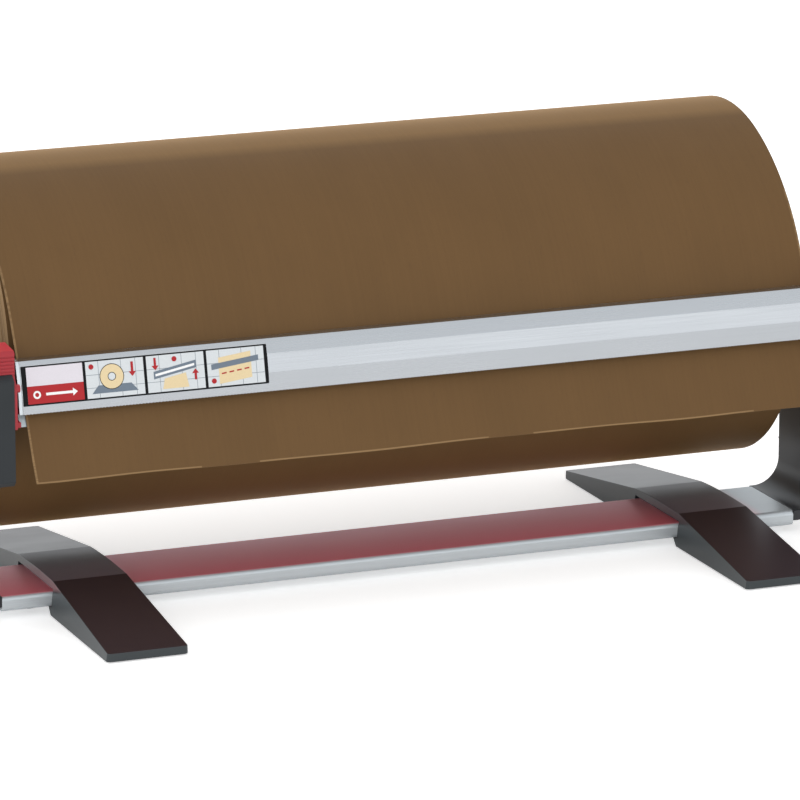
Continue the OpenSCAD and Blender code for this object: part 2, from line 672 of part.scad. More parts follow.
// Button spring: an open helix between the housing's post and the button
spring_turns = 8;
module button_spring(side) placed() on_side(side) color("gray") {
    length = body_z - spring_z0 - 0.1;
    mean_r = (spring_od - spring_wire) / 2;
    steps = 12;
    sides = 6;
    rings = spring_turns * steps;
    pitch = (length - spring_wire) / spring_turns;
    points = [for (i = [0 : rings], k = [0 : sides - 1])
        let (a = 360 * i / steps, b = 360 * k / sides, r = mean_r + spring_wire / 2 * cos(b))
        [r * cos(a), r * sin(a), spring_wire / 2 + pitch * i / steps + spring_wire / 2 * sin(b)]];
    faces = concat(
        [[for (k = [0 : sides - 1]) k]],
        [for (i = [0 : rings - 1], k = [0 : sides - 1]) let (j = (k + 1) % sides)
            [i * sides + k, i * sides + j, (i + 1) * sides + j, (i + 1) * sides + k]],
        [[for (k = [sides - 1 : -1 : 0]) rings * sides + k]]
    );
    translate([stem_x, stem_y, spring_z0]) polyhedron(points, faces);
}

// Axle, bushes, core plugs and their thumb screws
module axle() placed() color("gray") {
    chamfer = 1;
    rod_x(-axle_half + chamfer, axle_half - chamfer, axle_r, [axle_back, axle_z]);
    for (s = [-1, 1]) on_side(s) translate([axle_half - chamfer, axle_back, axle_z]) rotate([0, 90, 0])
        cylinder(h = chamfer, r1 = axle_r, r2 = axle_r - chamfer);
}

module axle_bush(side) placed() on_side(side) color("#202020") difference() {
    union() {
        rod_x(bush_x0, bush_x1, bush_r, [axle_back, axle_z]);
        rod_x(bush_x0, bush_x0 + bush_flange_t, bush_flange_d / 2, [axle_back, axle_z]);
        rod_x(bush_x1 - bush_flange_t, bush_x1, bush_flange_d / 2, [axle_back, axle_z]);
    }
    rod_x(bush_x0 - cut, bush_x1 + cut, axle_r + axle_play, [axle_back, axle_z]);
}

module core_plug(side) placed() on_side(side) color("#202020") difference() {
    union() {
        difference() {
            rod_x(half_roll - plug_depth, half_roll + 1, core_r, [axle_back, axle_z]);
            rod_x(half_roll - plug_depth - cut, half_roll + 2, core_r - plug_wall, [axle_back, axle_z]);
        }
        rod_x(plug_x, plug_x + plug_flange_t, plug_flange_d / 2, [axle_back, axle_z]);
        rod_x(half_roll - plug_depth, hub_x1, hub_r, [axle_back, axle_z]);
        for (a = [0 : 60 : 300]) translate([half_roll - plug_depth, axle_back, axle_z])
            rotate([a, 0, 0]) translate([0, hub_r - 1, -plug_rib / 2])
                cube([plug_depth + 1, core_r - hub_r - 1, plug_rib]);
    }
    rod_x(half_roll - plug_depth - cut, hub_x1 + cut, axle_r + axle_play, [axle_back, axle_z]);
    translate([knob_x, axle_back, axle_z]) cylinder(h = hub_r + cut, r = knob_screw_r);
}

module plug_screws() placed() color("#202020")
    for (s = [-1, 1]) on_side(s) translate([knob_x, axle_back, axle_z]) {
        translate([0, 0, axle_r + axle_play]) cylinder(h = hub_r, r = knob_screw_r);
        translate([0, 0, hub_r + 2]) difference() {
            cylinder(h = knob_h, r = knob_r);
            for (a = [0 : 45 : 315]) rotate([0, 0, a]) translate([knob_r + 0.4, 0, -cut])
                cylinder(h = knob_h + 2 * cut, r = knob_r / 5);
        }
    }

module core_tube() placed() color("#a08660") difference() {
    rod_x(-half_roll, half_roll, core_od / 2, [axle_back, axle_z]);
    rod_x(-half_roll - cut, half_roll + cut, core_r, [axle_back, axle_z]);
}

module paper_roll() placed() color("#70563a") difference() {
    rod_x(-half_roll, half_roll, roll_d / 2, [axle_back, axle_z]);
    rod_x(-half_roll - cut, half_roll + cut, core_od / 2, [axle_back, axle_z]);
}

// The outermost sheet: round the roll, off it in a loose curve, and straight through the cutter
function around(a) = [-cos(a), sin(a)];
sheet_spot = along_sheet(0, 0) - [axle_back, axle_z];
looseness = (sheet_spot * around(sheet_lean) - wrap_r) / (1 - cos(sheet_lift_angle - sheet_lean));
loose_r = wrap_r + looseness;
loose_centre = [axle_back, axle_z] - looseness * around(sheet_lift_angle);
loose_end = loose_centre + loose_r * around(sheet_lean);
sheet_run = (loose_end[1] - sheet_end_z) / cos(sheet_lean);

module sector(centre, r, a0, a1) {
    steps = ceil((a1 - a0) / 15);
    far = 1.2 * r;
    polygon(concat([centre], [for (i = [0 : steps]) centre + far * around(a0 + (a1 - a0) * i / steps)]));
}

module arc_band(centre, r, a0, a1) intersection() {
    difference() {
        translate(centre) circle(r + sheet_t / 2, $fn = 180);
        translate(centre) circle(r - sheet_t / 2, $fn = 180);
    }
    sector(centre, r, a0, a1);
}

module paper_web() placed() color("#7a5e40") along_x(-half_roll, half_roll) {
    arc_band([axle_back, axle_z], wrap_r, sheet_lift_angle, 360 + sheet_tuck_angle);
    arc_band(loose_centre, loose_r, sheet_lean, sheet_lift_angle + 0.5);
    translate(loose_end) rotate(-sheet_lean) translate([-sheet_t / 2, -sheet_run]) square([sheet_t, sheet_run + 0.5]);
}

base_extrusion();
foot(-1);  // left_foot
foot(1);  // right_foot
foot_pads();
foot_screws();
upright(-1);  // left_upright
upright(1);  // right_upright
upright_screws();
housing(-1);  // left_housing
housing(1);  // right_housing
housing_screws();
back_profile();
back_profile_screws();
cutter_rail();
cutter_blade();
label_strip();
rail_cap(-1);  // left_rail_cap
rail_cap(1);  // right_rail_cap
crank(-1);  // left_crank
crank(1);  // right_crank
button(-1);  // left_button
button(1);  // right_button
button_spring(-1);  // left_button_spring
button_spring(1);  // right_button_spring
axle();
axle_bush(-1);  // left_axle_bush
axle_bush(1);  // right_axle_bush
core_plug(-1);  // left_core_plug
core_plug(1);  // right_core_plug
plug_screws();
core_tube();
paper_roll();
paper_web();
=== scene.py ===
"""The looks of a table-top dispenser and cutter for gift wrap on a roll.

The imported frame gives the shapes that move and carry. This script models the pieces that are seen, dresses
them in their finishes, and sets the camera, the floor and the light. Sizes are in millimetres from the middle
of the base, as in the part's source: X along the roll, Y to the back, Z up from the table.
"""

import logging
import math
import random
from collections.abc import Iterator, Sequence
from contextlib import contextmanager
from dataclasses import dataclass, field
from enum import Enum
from typing import Any

import bpy
from mathutils import Matrix, Vector

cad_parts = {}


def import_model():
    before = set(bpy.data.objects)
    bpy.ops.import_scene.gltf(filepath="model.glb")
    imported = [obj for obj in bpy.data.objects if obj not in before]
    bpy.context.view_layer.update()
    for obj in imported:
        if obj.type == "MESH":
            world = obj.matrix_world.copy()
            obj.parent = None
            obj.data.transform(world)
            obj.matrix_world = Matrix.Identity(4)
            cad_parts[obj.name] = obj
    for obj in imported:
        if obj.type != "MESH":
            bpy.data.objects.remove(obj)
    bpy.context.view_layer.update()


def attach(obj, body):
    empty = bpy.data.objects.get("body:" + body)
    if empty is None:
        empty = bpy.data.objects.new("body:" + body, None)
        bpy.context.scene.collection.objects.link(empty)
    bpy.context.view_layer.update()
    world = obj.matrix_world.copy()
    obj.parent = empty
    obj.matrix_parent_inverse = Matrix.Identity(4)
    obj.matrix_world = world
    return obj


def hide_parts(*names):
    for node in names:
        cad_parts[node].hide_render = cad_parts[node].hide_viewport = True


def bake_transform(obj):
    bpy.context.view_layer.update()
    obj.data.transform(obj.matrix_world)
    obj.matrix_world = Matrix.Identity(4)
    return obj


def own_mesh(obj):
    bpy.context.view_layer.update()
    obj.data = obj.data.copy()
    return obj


log = logging.getLogger("dispenser")

Point = tuple[float, float]
Colour = tuple[float, float, float, float]
Piece = bpy.types.Object
Tree = bpy.types.NodeTree
Socket = bpy.types.NodeSocket

MM = 0.001
BASE_Y = -21.75  # the middle of the base in the row's frame
AXLE: Point = (67.0, 144.1)  # the roll's axle, seen from the side
WHITE: Colour = (1.0, 1.0, 1.0, 1.0)


# ---------------------------------------------------------------- places and outlines


def spot(x: float, y: float, z: float) -> Vector:
    """A point given in millimetres from the middle of the base, in the row's frame and in metres."""
    return Vector((x, y + BASE_Y, z)) * MM


def arc(centre: Point, radius: float, start: float, end: float, steps: int) -> list[Point]:
    """Points on an arc.

    Args:
        centre: Its centre.
        radius: Its radius.
        start: The angle of its first point, in degrees.
        end: The angle of its last point, in degrees.
        steps: The number of straight stretches.

    Returns:
        steps + 1 points.
    """
    angles = [math.radians(start + (end - start) * i / steps) for i in range(steps + 1)]
    return [(centre[0] + radius * math.cos(a), centre[1] + radius * math.sin(a)) for a in angles]


class Plane(Enum):
    """The plane that an outline is drawn in, named for the view that shows it."""

    SIDE = 0  # (y, z), square to X
    FRONT = 1  # (x, z), square to Y
    PLAN = 2  # (x, y), square to Z

    def place(self, point: Point, across: float) -> Vector:
        """The spot of an outline's point.

        Args:
            point: The point in the plane.
            across: Its distance across the plane.

        Returns:
            The spot in metres.
        """
        first, second = point
        if self is Plane.SIDE:
            return spot(across, first, second)
        if self is Plane.FRONT:
            return spot(first, across, second)
        return spot(first, second, across)

    def step(self, distance: float) -> Vector:
        """The way across the plane for a distance in millimetres, in metres."""
        return Vector([distance * MM if axis == self.value else 0.0 for axis in range(3)])


# ---------------------------------------------------------------- modelling by hand


def let_go() -> None:
    """Deselects everything, so that an operator acts on one piece only."""
    if bpy.context.object and bpy.context.object.mode != "OBJECT":
        bpy.ops.object.mode_set(mode="OBJECT")
    bpy.ops.object.select_all(action="DESELECT")


def take(*pieces: Piece) -> None:
    """Selects pieces and nothing else.

    Args:
        *pieces: The pieces, the active one first.
    """
    let_go()
    for piece in pieces:
        piece.select_set(True)
    bpy.context.view_layer.objects.active = pieces[0]


@contextmanager
def editing(piece: Piece) -> Iterator[None]:
    """Edit mode on one piece, with all of its mesh selected at the start.

    Args:
        piece: The piece.
    """
    take(piece)
    bpy.ops.object.mode_set(mode="EDIT")
    bpy.ops.mesh.select_all(action="SELECT")
    yield
    bpy.ops.object.mode_set(mode="OBJECT")


def added(name: str) -> Piece:
    """Names the primitive that was just added and puts its place into its mesh.

    Args:
        name: The name of the piece and its mesh.

    Returns:
        The piece.
    """
    piece = bpy.context.object
    piece.name = name
    piece.data.name = name
    bpy.ops.object.transform_apply(location=True, rotation=True, scale=True)
    return piece


def outline(name: str, points: Sequence[Point], plane: Plane, across: float) -> Piece:
    """A flat face: the vertices of a filled circle moved onto an outline.

    Args:
        name: The new piece's name.
        points: The outline's corners in order.
        plane: The plane that it is drawn in.
        across: Its distance across that plane.

    Returns:
        The new piece.
    """
    let_go()
    bpy.ops.mesh.primitive_circle_add(vertices=len(points), fill_type="NGON")
    piece = added(name)
    for vertex, point in zip(piece.data.vertices, points):
        vertex.co = plane.place(point, across)
    return piece


def facing_out(piece: Piece) -> Piece:
    """Merges the doubles of a closed shell and points its faces outwards.

    Args:
        piece: The shell.

    Returns:
        The same piece.
    """
    with editing(piece):
        bpy.ops.mesh.remove_doubles(threshold=0.002 * MM)
        bpy.ops.mesh.normals_make_consistent(inside=False)
    return piece


def bar(name: str, points: Sequence[Point], plane: Plane, start: float, end: float) -> Piece:
    """A straight bar: an outline extruded across its plane.

    Args:
        name: The new piece's name.
        points: The outline's corners in order.
        plane: The plane that it is drawn in.
        start: Where across the plane the bar starts.
        end: Where it ends.

    Returns:
        The new piece.
    """
    piece = outline(name, points, plane, start)
    with editing(piece):
        bpy.ops.mesh.extrude_region_move(TRANSFORM_OT_translate={"value": plane.step(end - start)})
    return facing_out(piece)


def rod(name: str, at: Vector, radius: float, length: float, sides: int) -> Piece:
    """A cylinder along Z.

    Args:
        name: The new piece's name.
        at: Its middle, in metres.
        radius: Its radius in millimetres.
        length: Its length in millimetres.
        sides: The number of its sides.

    Returns:
        The new piece.
    """
    let_go()
    bpy.ops.mesh.primitive_cylinder_add(vertices=sides, radius=radius * MM, depth=length * MM, location=at)
    return added(name)


def block(name: str, size: Sequence[float], centre: Sequence[float], frame: Matrix) -> Piece:
    """A box in a frame of its own.

    Args:
        name: The new piece's name.
        size: Its length along each axis of the frame, in millimetres.
        centre: Its middle in the frame, in millimetres.
        frame: The frame, in metres.

    Returns:
        The new piece.
    """
    let_go()
    bpy.ops.mesh.primitive_cube_add(size=1.0)
    piece = added(name)
    grown = Matrix.Diagonal([length * MM for length in size] + [1.0])
    piece.data.transform(frame @ Matrix.Translation(Vector(centre) * MM) @ grown)
    return piece


def modified(piece: Piece, kind: str, **settings: Any) -> Piece:
    """Adds a modifier and applies it.

    Args:
        piece: The piece.
        kind: The modifier's type.
        **settings: Its properties.

    Returns:
        The same piece.
    """
    modifier = piece.modifiers.new(kind.lower(), kind)
    for key, value in settings.items():
        setattr(modifier, key, value)
    take(piece)
    bpy.ops.object.modifier_apply(modifier=modifier.name)
    return piece


def softened(piece: Piece, width: float, segments: int = 2, angle: float = 30.0) -> Piece:
    """Rounds a piece's edges.

    Args:
        piece: The piece.
        width: The width of the rounding, in millimetres.
        segments: How many faces each rounding has.
        angle: Only edges that turn by more than this, in degrees, are rounded.

    Returns:
        The same piece.
    """
    return modified(
        piece,
        "BEVEL",
        width=width * MM,
        segments=segments,
        limit_method="ANGLE",
        angle_limit=math.radians(angle),
        miter_outer="MITER_ARC",
    )


def smoothed(piece: Piece, angle: float = 40.0) -> Piece:
    """Shades the curves smooth and keeps the flats flat.

    Args:
        piece: The piece.
        angle: Edges that turn by more than this, in degrees, stay sharp.

    Returns:
        The same piece.
    """
    take(piece)
    bpy.ops.object.shade_smooth_by_angle(angle=math.radians(angle), keep_sharp_edges=True)
    return modified(piece, "WEIGHTED_NORMAL", keep_sharp=True, weight=80)


def creased(piece: Piece, lowest: float, highest: float) -> Piece:
    """Marks the edges sharp where two flats meet at a shallow angle.

    Args:
        piece: The piece.
        lowest: The least angle between the flats, in degrees.
        highest: The greatest.

    Returns:
        The same piece.
    """
    with editing(piece):
        bpy.ops.mesh.select_mode(type="EDGE")
        bpy.ops.mesh.select_all(action="DESELECT")
        bpy.ops.mesh.edges_select_sharp(sharpness=math.radians(lowest))
        bpy.ops.object.mode_set(mode="OBJECT")
        sides: dict[tuple[int, int], list[Vector]] = {}
        for face in piece.data.polygons:
            for key in face.edge_keys:
                sides.setdefault(key, []).append(face.normal.copy())
        for edge in piece.data.edges:
            flats = sides.get(edge.key, [])
            turn = math.degrees(flats[0].angle(flats[1])) if len(flats) == 2 else 180.0
            edge.select = edge.select and turn <= highest
        bpy.ops.object.mode_set(mode="EDIT")
        bpy.ops.mesh.mark_sharp()
    return piece


def carved(piece: Piece, *tools: Piece) -> Piece:
    """Takes the shapes of tools out of a piece, and the tools away.

    Args:
        piece: The piece.
        *tools: The closed shapes that are cut out of it.

    Returns:
        The same piece.
    """
    for tool in tools:
        modified(piece, "BOOLEAN", operation="DIFFERENCE", solver="EXACT", object=tool)
        bpy.data.objects.remove(tool)
    return piece


def united(piece: Piece, other: Piece) -> Piece:
    """Fuses another piece into a piece and dissolves the lines left on its flats.

    Args:
        piece: The piece.
        other: The piece that goes into it.

    Returns:
        The first piece.
    """
    modified(piece, "BOOLEAN", operation="UNION", solver="EXACT", object=other)
    bpy.data.objects.remove(other)
    with editing(piece):
        bpy.ops.mesh.dissolve_limited(angle_limit=math.radians(0.2))
    return piece


def joined(pieces: Sequence[Piece]) -> Piece:
    """Joins loose pieces.

    Args:
        pieces: The pieces.

    Returns:
        The first of them, which now holds them all.
    """
    take(*pieces)
    bpy.ops.object.join()
    return pieces[0]


def copied(piece: Piece, name: str, move: Matrix) -> Piece:
    """A copy with its own mesh, its faces pointing outwards.

    Args:
        piece: The piece.
        name: The copy's name.
        move: The way that the copy's mesh is moved.

    Returns:
        The copy.
    """
    twin = piece.copy()
    twin.data = piece.data.copy()
    twin.name = name
    twin.data.name = name
    bpy.context.scene.collection.objects.link(twin)
    twin.data.transform(move)
    if move.determinant() < 0:
        twin.data.flip_normals()
    return twin


def mirrored(piece: Piece, name: str) -> Piece:
    """A copy at the other end of the roll, with its shading worked out anew.

    Args:
        piece: The piece.
        name: The copy's name.

    Returns:
        The copy.
    """
    twin = copied(piece, name, Matrix.Diagonal((-1.0, 1.0, 1.0, 1.0)))
    take(twin)
    bpy.ops.mesh.customdata_custom_splitnormals_clear()
    return modified(twin, "WEIGHTED_NORMAL", keep_sharp=True, weight=80)


def kept_up_to(piece: Piece, x: float) -> None:
    """Cuts away what lies beyond x, in metres, and closes the cut."""
    with editing(piece):
        bpy.ops.mesh.bisect(plane_co=(x, 0, 0), plane_no=(1, 0, 0), use_fill=True, clear_outer=True)


def from_node(node_name: str, name: str, width: float, segments: int = 2) -> Piece:
    """A piece with a CAD node's shape, merged from its loose triangles, with its edges rounded.

    Args:
        node_name: The CAD node.
        name: The new piece's name.
        width: The width of the rounded edges, in millimetres, or 0 for none.
        segments: How many faces each rounded edge has.

    Returns:
        The new piece, not dressed yet.
    """
    piece = bpy.data.objects.new(name, bpy.data.objects[node_name].data.copy())
    piece.data.name = name
    bpy.context.scene.collection.objects.link(piece)
    piece.data.materials.clear()
    with editing(piece):
        bpy.ops.mesh.remove_doubles(threshold=0.001 * MM)
        bpy.ops.mesh.dissolve_limited(angle_limit=math.radians(0.3))
    if width:
        softened(piece, width, segments)
    return smoothed(piece)


# ---------------------------------------------------------------- patterns of finishes

# Settings that several shader nodes share.
COLOURS = {"data_type": "RGBA"}
SOFT = {"interpolation_type": "SMOOTHSTEP"}
STRAIGHT = {"interpolation_type": "LINEAR"}
TIMES = {"operation": "MULTIPLY"}
# Most of a noise lies between these two values.
NOISE = {"From_Min": 0.25, "From_Max": 0.75}


def linear(colour: str) -> Colour:
    """An sRGB hex colour in linear light, as a shader's socket takes it.

    Args:
        colour: The colour, as #RRGGBB.

    Returns:
        Its red, green, blue and an alpha of 1.
    """
    parts = [int(colour[i : i + 2], 16) / 255 for i in (1, 3, 5)]
    light = [c / 12.92 if c <= 0.04045 else ((c + 0.055) / 1.055) ** 2.4 for c in parts]
    return light[0], light[1], light[2], 1.0


def toned(colour: Colour, share: float, lift: float = 0.0) -> Colour:
    """A linear colour made lighter or darker by a share, and lifted by a little grey."""
    red, green, blue = (min(1.0, share * c + lift) for c in colour[:3])
    return red, green, blue, 1.0


def wire(tree: Tree, made: bpy.types.Node, **inputs: Any) -> None:
    """Sets a node's sockets.

    Args:
        tree: The node tree.
        made: The node.
        **inputs: Its sockets, by name with spaces as underscores or as i0, i1 and so on, each a value or a link.
    """
    for key, value in inputs.items():
        number = key[1:] if key[0] == "i" and key[1:].isdigit() else ""
        socket = made.inputs[int(number)] if number else made.inputs[key.replace("_", " ")]
        if isinstance(value, Socket):
            tree.links.new(value, socket)
        else:
            socket.default_value = value


def node(tree: Tree, kind: str, settings: dict[str, Any] | None = None, **inputs: Any) -> bpy.types.Node:
    """Adds a shader node with its settings and links.

    Args:
        tree: The node tree.
        kind: The node's type.
        settings: Its properties.
        **inputs: Its sockets, as wire takes them.

    Returns:
        The node.
    """
    made = tree.nodes.new(kind)
    for key, value in (settings or {}).items():
        setattr(made, key, value)
    wire(tree, made, **inputs)
    return made


def grain(tree: Tree, size: Sequence[float], detail: float) -> Socket:
    """Noise with grains of a real size.

    Args:
        tree: The node tree.
        size: The grains' size in millimetres along X, Y and Z.
        detail: How many finer layers lie over it.

    Returns:
        The noise, mostly between 0.25 and 0.75.
    """
    place = node(tree, "ShaderNodeTexCoord").outputs["Object"]
    scaled = node(tree, "ShaderNodeMapping", Vector=place, Scale=[1.0 / (s * MM) for s in size])
    return node(tree, "ShaderNodeTexNoise", Vector=scaled.outputs[0], Scale=1.0, Detail=detail).outputs["Fac"]


def mottled(tree: Tree, colour: Any, other: Colour, noise: Socket, most: float = 1.0) -> Socket:
    """A colour mottled with another by a noise.

    Args:
        tree: The node tree.
        colour: The first colour.
        other: The second one.
        noise: The noise.
        most: The greatest share of the second colour.

    Returns:
        The mixed colour.
    """
    share = node(tree, "ShaderNodeMapRange", SOFT, Value=noise, To_Max=most, **NOISE).outputs[0]
    return node(tree, "ShaderNodeMix", COLOURS, i0=share, i6=colour, i7=other).outputs[2]


def laid_over(tree: Tree, colour: Socket, other: str, *shares: Socket) -> Socket:
    """A second colour laid over a first.

    Args:
        tree: The node tree.
        colour: The first colour.
        other: The second one, in sRGB hex.
        *shares: Its shares, which are multiplied.

    Returns:
        The mixed colour.
    """
    share = shares[0]
    for more in shares[1:]:
        share = node(tree, "ShaderNodeMath", TIMES, i0=share, i1=more).outputs[0]
    return node(tree, "ShaderNodeMix", COLOURS, i0=share, i6=colour, i7=linear(other)).outputs[2]


def fading(tree: Tree, axis: str, places: Point, values: Point, settings: dict[str, Any]) -> Socket:
    """A value that goes from one number to another along an axis.

    Args:
        tree: The node tree.
        axis: The axis.
        places: Where it starts and ends, in millimetres in the row's frame.
        values: The numbers there.
        settings: How it goes, SOFT or STRAIGHT.

    Returns:
        The value.
    """
    place = node(tree, "ShaderNodeTexCoord").outputs["Object"]
    along = node(tree, "ShaderNodeSeparateXYZ", Vector=place).outputs[axis]
    start, end = (p * MM for p in places)
    ends = {"From_Min": start, "From_Max": end, "To_Min": values[0], "To_Max": values[1]}
    return node(tree, "ShaderNodeMapRange", settings, Value=along, **ends).outputs[0]


def skyward(tree: Tree, low: float = 0.75, high: float = 0.99) -> Socket:
    """A share that is 1 on a face that looks up and 0 on a steep one, soft over a rounded edge. It masks the light
    painted on upward faces.

    Args:
        tree: The node tree.
        low: The upward part of the face's normal at which the share leaves 0.
        high: The upward part at which it reaches 1.

    Returns:
        The share.
    """
    normal = node(tree, "ShaderNodeNewGeometry").outputs["Normal"]
    up = node(tree, "ShaderNodeSeparateXYZ", Vector=normal).outputs["Z"]
    return node(tree, "ShaderNodeMapRange", Value=up, From_Min=low, From_Max=high).outputs[0]


# ---------------------------------------------------------------- finishes


@dataclass(frozen=True)
class Finish:
    """A surface as its process leaves it. The subclasses add the pattern that the process leaves.

    Attributes:
        name: The material's name.
        colour: Its main colour in sRGB hex.
        roughness: Its mean roughness.
        metallic: 1 for a bare metal.
        ior: Its index of refraction.
        specular: The level of its mirror light, 0.5 for a smooth dielectric and less for a fibrous one.
    """

    name: str
    colour: str
    roughness: float
    metallic: float = 0.0
    ior: float = 1.5
    specular: float = 0.5

    def material(self) -> bpy.types.Material:
        """The Blender material, made on first use.

        Returns:
            The material.
        """
        known = bpy.data.materials.get(self.name)
        if known:
            return known
        made = bpy.data.materials.new(self.name)
        made.use_nodes = True
        made.diffuse_color = linear(self.colour)
        tree = made.node_tree
        shader = tree.nodes["Principled BSDF"]
        wire(tree, shader, Base_Color=linear(self.colour), Roughness=self.roughness, Metallic=self.metallic)
        wire(tree, shader, IOR=self.ior, Specular_IOR_Level=self.specular)
        self.pattern(tree, shader)
        return made

    def pattern(self, tree: Tree, shader: bpy.types.Node) -> None:
        """Adds what the process leaves on the surface. Each subclass has its own."""
        raise NotImplementedError


@dataclass(frozen=True)
class BrushedMetal(Finish):
    """Extruded or drawn metal, brushed along X, whose lines spread a highlight into a band.

    Attributes:
        pitch: The spacing of the brush lines in millimetres. Real ones are 0.1 mm apart; wider ones show.
        wander: How far the roughness strays from line to line, and from cloud to cloud.
        painted_light: A painted reflection, a second colour on the upward faces, in sRGB hex.
        painted_light_end: Where along X the painted reflection has faded, in millimetres.
        painted_light_fade: The length of that fade in millimetres.
        painted_light_depth: From where to where along Y the painted reflection grows paler, from the middle of the
            base.
        painted_light_back: The share of the painted reflection that is left at the back.
    """

    metallic: float = 1.0
    pitch: float = 0.5
    wander: float = 0.02
    painted_light: str = ""
    painted_light_end: float = 0.0
    painted_light_fade: float = 24.0
    painted_light_depth: Point = (-24.0, 32.0)
    painted_light_back: float = 0.62

    def pattern(self, tree: Tree, shader: bpy.types.Node) -> None:
        """Adds the brush lines, and the painted reflection on the upward faces where there is one.

        Args:
            tree: The material's node tree.
            shader: Its shader.
        """
        lines = grain(tree, (60.0, self.pitch, self.pitch), detail=3.0)
        clouds = grain(tree, (70.0, 25.0, 25.0), detail=1.0)
        base = linear(self.colour)
        colour = mottled(tree, base, toned(base, 0.95), lines)
        if self.painted_light:
            # A painted reflection: a second colour on the upward faces, fading near the ends and towards the back.
            share = fading(tree, "X", (self.painted_light_end, self.painted_light_end - self.painted_light_fade), (0.0, 1.0), SOFT)
            front, back = self.painted_light_depth
            paler = fading(tree, "Y", (BASE_Y + front, BASE_Y + back), (1.0, self.painted_light_back), STRAIGHT)
            colour = laid_over(tree, colour, self.painted_light, share, skyward(tree), paler)
        ends = {"To_Min": -self.wander, "To_Max": self.wander}
        by_line = node(tree, "ShaderNodeMapRange", SOFT, Value=lines, **NOISE, **ends).outputs[0]
        ends = {"To_Min": self.roughness - self.wander, "To_Max": self.roughness + self.wander}
        by_cloud = node(tree, "ShaderNodeMapRange", SOFT, Value=clouds, **NOISE, **ends).outputs[0]
        rough = node(tree, "ShaderNodeMath", {"operation": "ADD"}, i0=by_line, i1=by_cloud).outputs[0]
        relief = node(tree, "ShaderNodeBump", Height=lines, Distance=0.003 * MM).outputs[0]
        wire(tree, shader, Base_Color=colour, Roughness=rough, Normal=relief)


@dataclass(frozen=True)
class MouldedPlastic(Finish):
    """Injection-moulded plastic with the fine grain of its mould.

    Attributes:
        cell: The size of the grain in millimetres.
        depth: The depth of the grain in millimetres.
        flow: How much the colour wanders over the part, as the melt flowed.
        wander: How far the roughness strays from its mean, as the melt flowed.
        painted_light: The colour of its upward faces, in sRGB hex, where they differ from the upright ones: painted
            light from above and painted reflection.
        level: A painted highlight, the lighter colour of its level faces over the front of the base, in sRGB hex,
            where it differs again.
        painted_level_fade: From where to where along Y that painted highlight comes in, from the middle of the base.
    """

    cell: float = 0.6
    depth: float = 0.006
    flow: float = 0.04
    wander: float = 0.015
    painted_light: str = ""
    level: str = ""
    painted_level_fade: Point = (18.0, -12.0)

    def pattern(self, tree: Tree, shader: bpy.types.Node) -> None:
        """Adds the mould's grain, flow marks, a slightly uneven gloss, and the painted light on upward and level faces
        where there is any.

        Args:
            tree: The material's node tree.
            shader: Its shader.
        """
        cells = grain(tree, (self.cell,) * 3, detail=2.0)
        flow = grain(tree, (40.0, 22.0, 22.0), detail=1.0)
        base = linear(self.colour)
        colour = mottled(tree, base, toned(base, 1 + self.flow, 0.002), flow)
        # Painted light: a colour laid on the upward faces, by the way they face.
        if self.painted_light:
            colour = laid_over(tree, colour, self.painted_light, skyward(tree))
        # Painted highlight: a lighter colour on the level faces, stronger towards the front.
        if self.level:
            back, front = self.painted_level_fade
            share = fading(tree, "Y", (BASE_Y + back, BASE_Y + front), (0.0, 1.0), SOFT)
            # The long slopes lean by 8.5 degrees, so their normals point up by less than 0.991.
            colour = laid_over(tree, colour, self.level, share, skyward(tree, 0.991, 0.999))
        ends = {"To_Min": self.roughness - self.wander, "To_Max": self.roughness + self.wander}
        rough = node(tree, "ShaderNodeMapRange", SOFT, Value=flow, **NOISE, **ends).outputs[0]
        relief = node(tree, "ShaderNodeBump", Height=cells, Distance=self.depth * MM).outputs[0]
        wire(tree, shader, Base_Color=colour, Roughness=rough, Normal=relief)


@dataclass(frozen=True)
class KraftPaper(Finish):
    """Unbleached paper: matt, with fibres and flecks, and faint ribs round the roll from the machine.

    Attributes:
        fleck: The colour of its darker fibres, in sRGB hex.
        painted_crest_highlight: A painted highlight, the paler colour along the roll's top where the light falls, in
            sRGB hex.
        fuzz: How strongly the loose fibres catch the light where the paper turns away.
        fuzz_colour: Their colour, in sRGB hex.
    """

    ior: float = 1.45
    specular: float = 0.2
    fleck: str = "#5E472F"
    painted_crest_highlight: str = ""
    fuzz: float = 0.46
    fuzz_colour: str = "#DDB27C"

    def pattern(self, tree: Tree, shader: bpy.types.Node) -> None:
        """Adds the clouds, the fibres, the painted highlight along the roll's top where there is one, and the
        machine's ribs.

        Args:
            tree: The material's node tree.
            shader: Its shader.
        """
        clouds = grain(tree, (45.0, 60.0, 60.0), detail=3.0)
        fibres = grain(tree, (0.9, 5.0, 5.0), detail=3.0)
        ribs = grain(tree, (1.6, 400.0, 400.0), detail=1.0)
        base = linear(self.colour)
        colour = mottled(tree, base, toned(base, 1.07), clouds)
        flecks = node(tree, "ShaderNodeMapRange", Value=fibres, From_Min=0.58, From_Max=0.78, To_Max=0.45)
        colour = laid_over(tree, colour, self.fleck, flecks.outputs[0])
        if self.painted_crest_highlight:
            # The painted band of light reaches 11 to 16 degrees down from the roll's top.
            colour = laid_over(tree, colour, self.painted_crest_highlight, skyward(tree, 0.961, 0.984))
        shade = node(tree, "ShaderNodeMapRange", SOFT, Value=ribs, To_Min=0.975, To_Max=1.015, **NOISE).outputs[0]
        times = {"data_type": "RGBA", "blend_type": "MULTIPLY"}
        colour = node(tree, "ShaderNodeMix", times, i0=1.0, i6=colour, i7=shade).outputs[2]
        relief = node(tree, "ShaderNodeBump", Height=fibres, Distance=0.02 * MM).outputs[0]
        wire(tree, shader, Base_Color=colour, Normal=relief)
        wire(tree, shader, Sheen_Weight=self.fuzz, Sheen_Roughness=0.28, Sheen_Tint=linear(self.fuzz_colour))


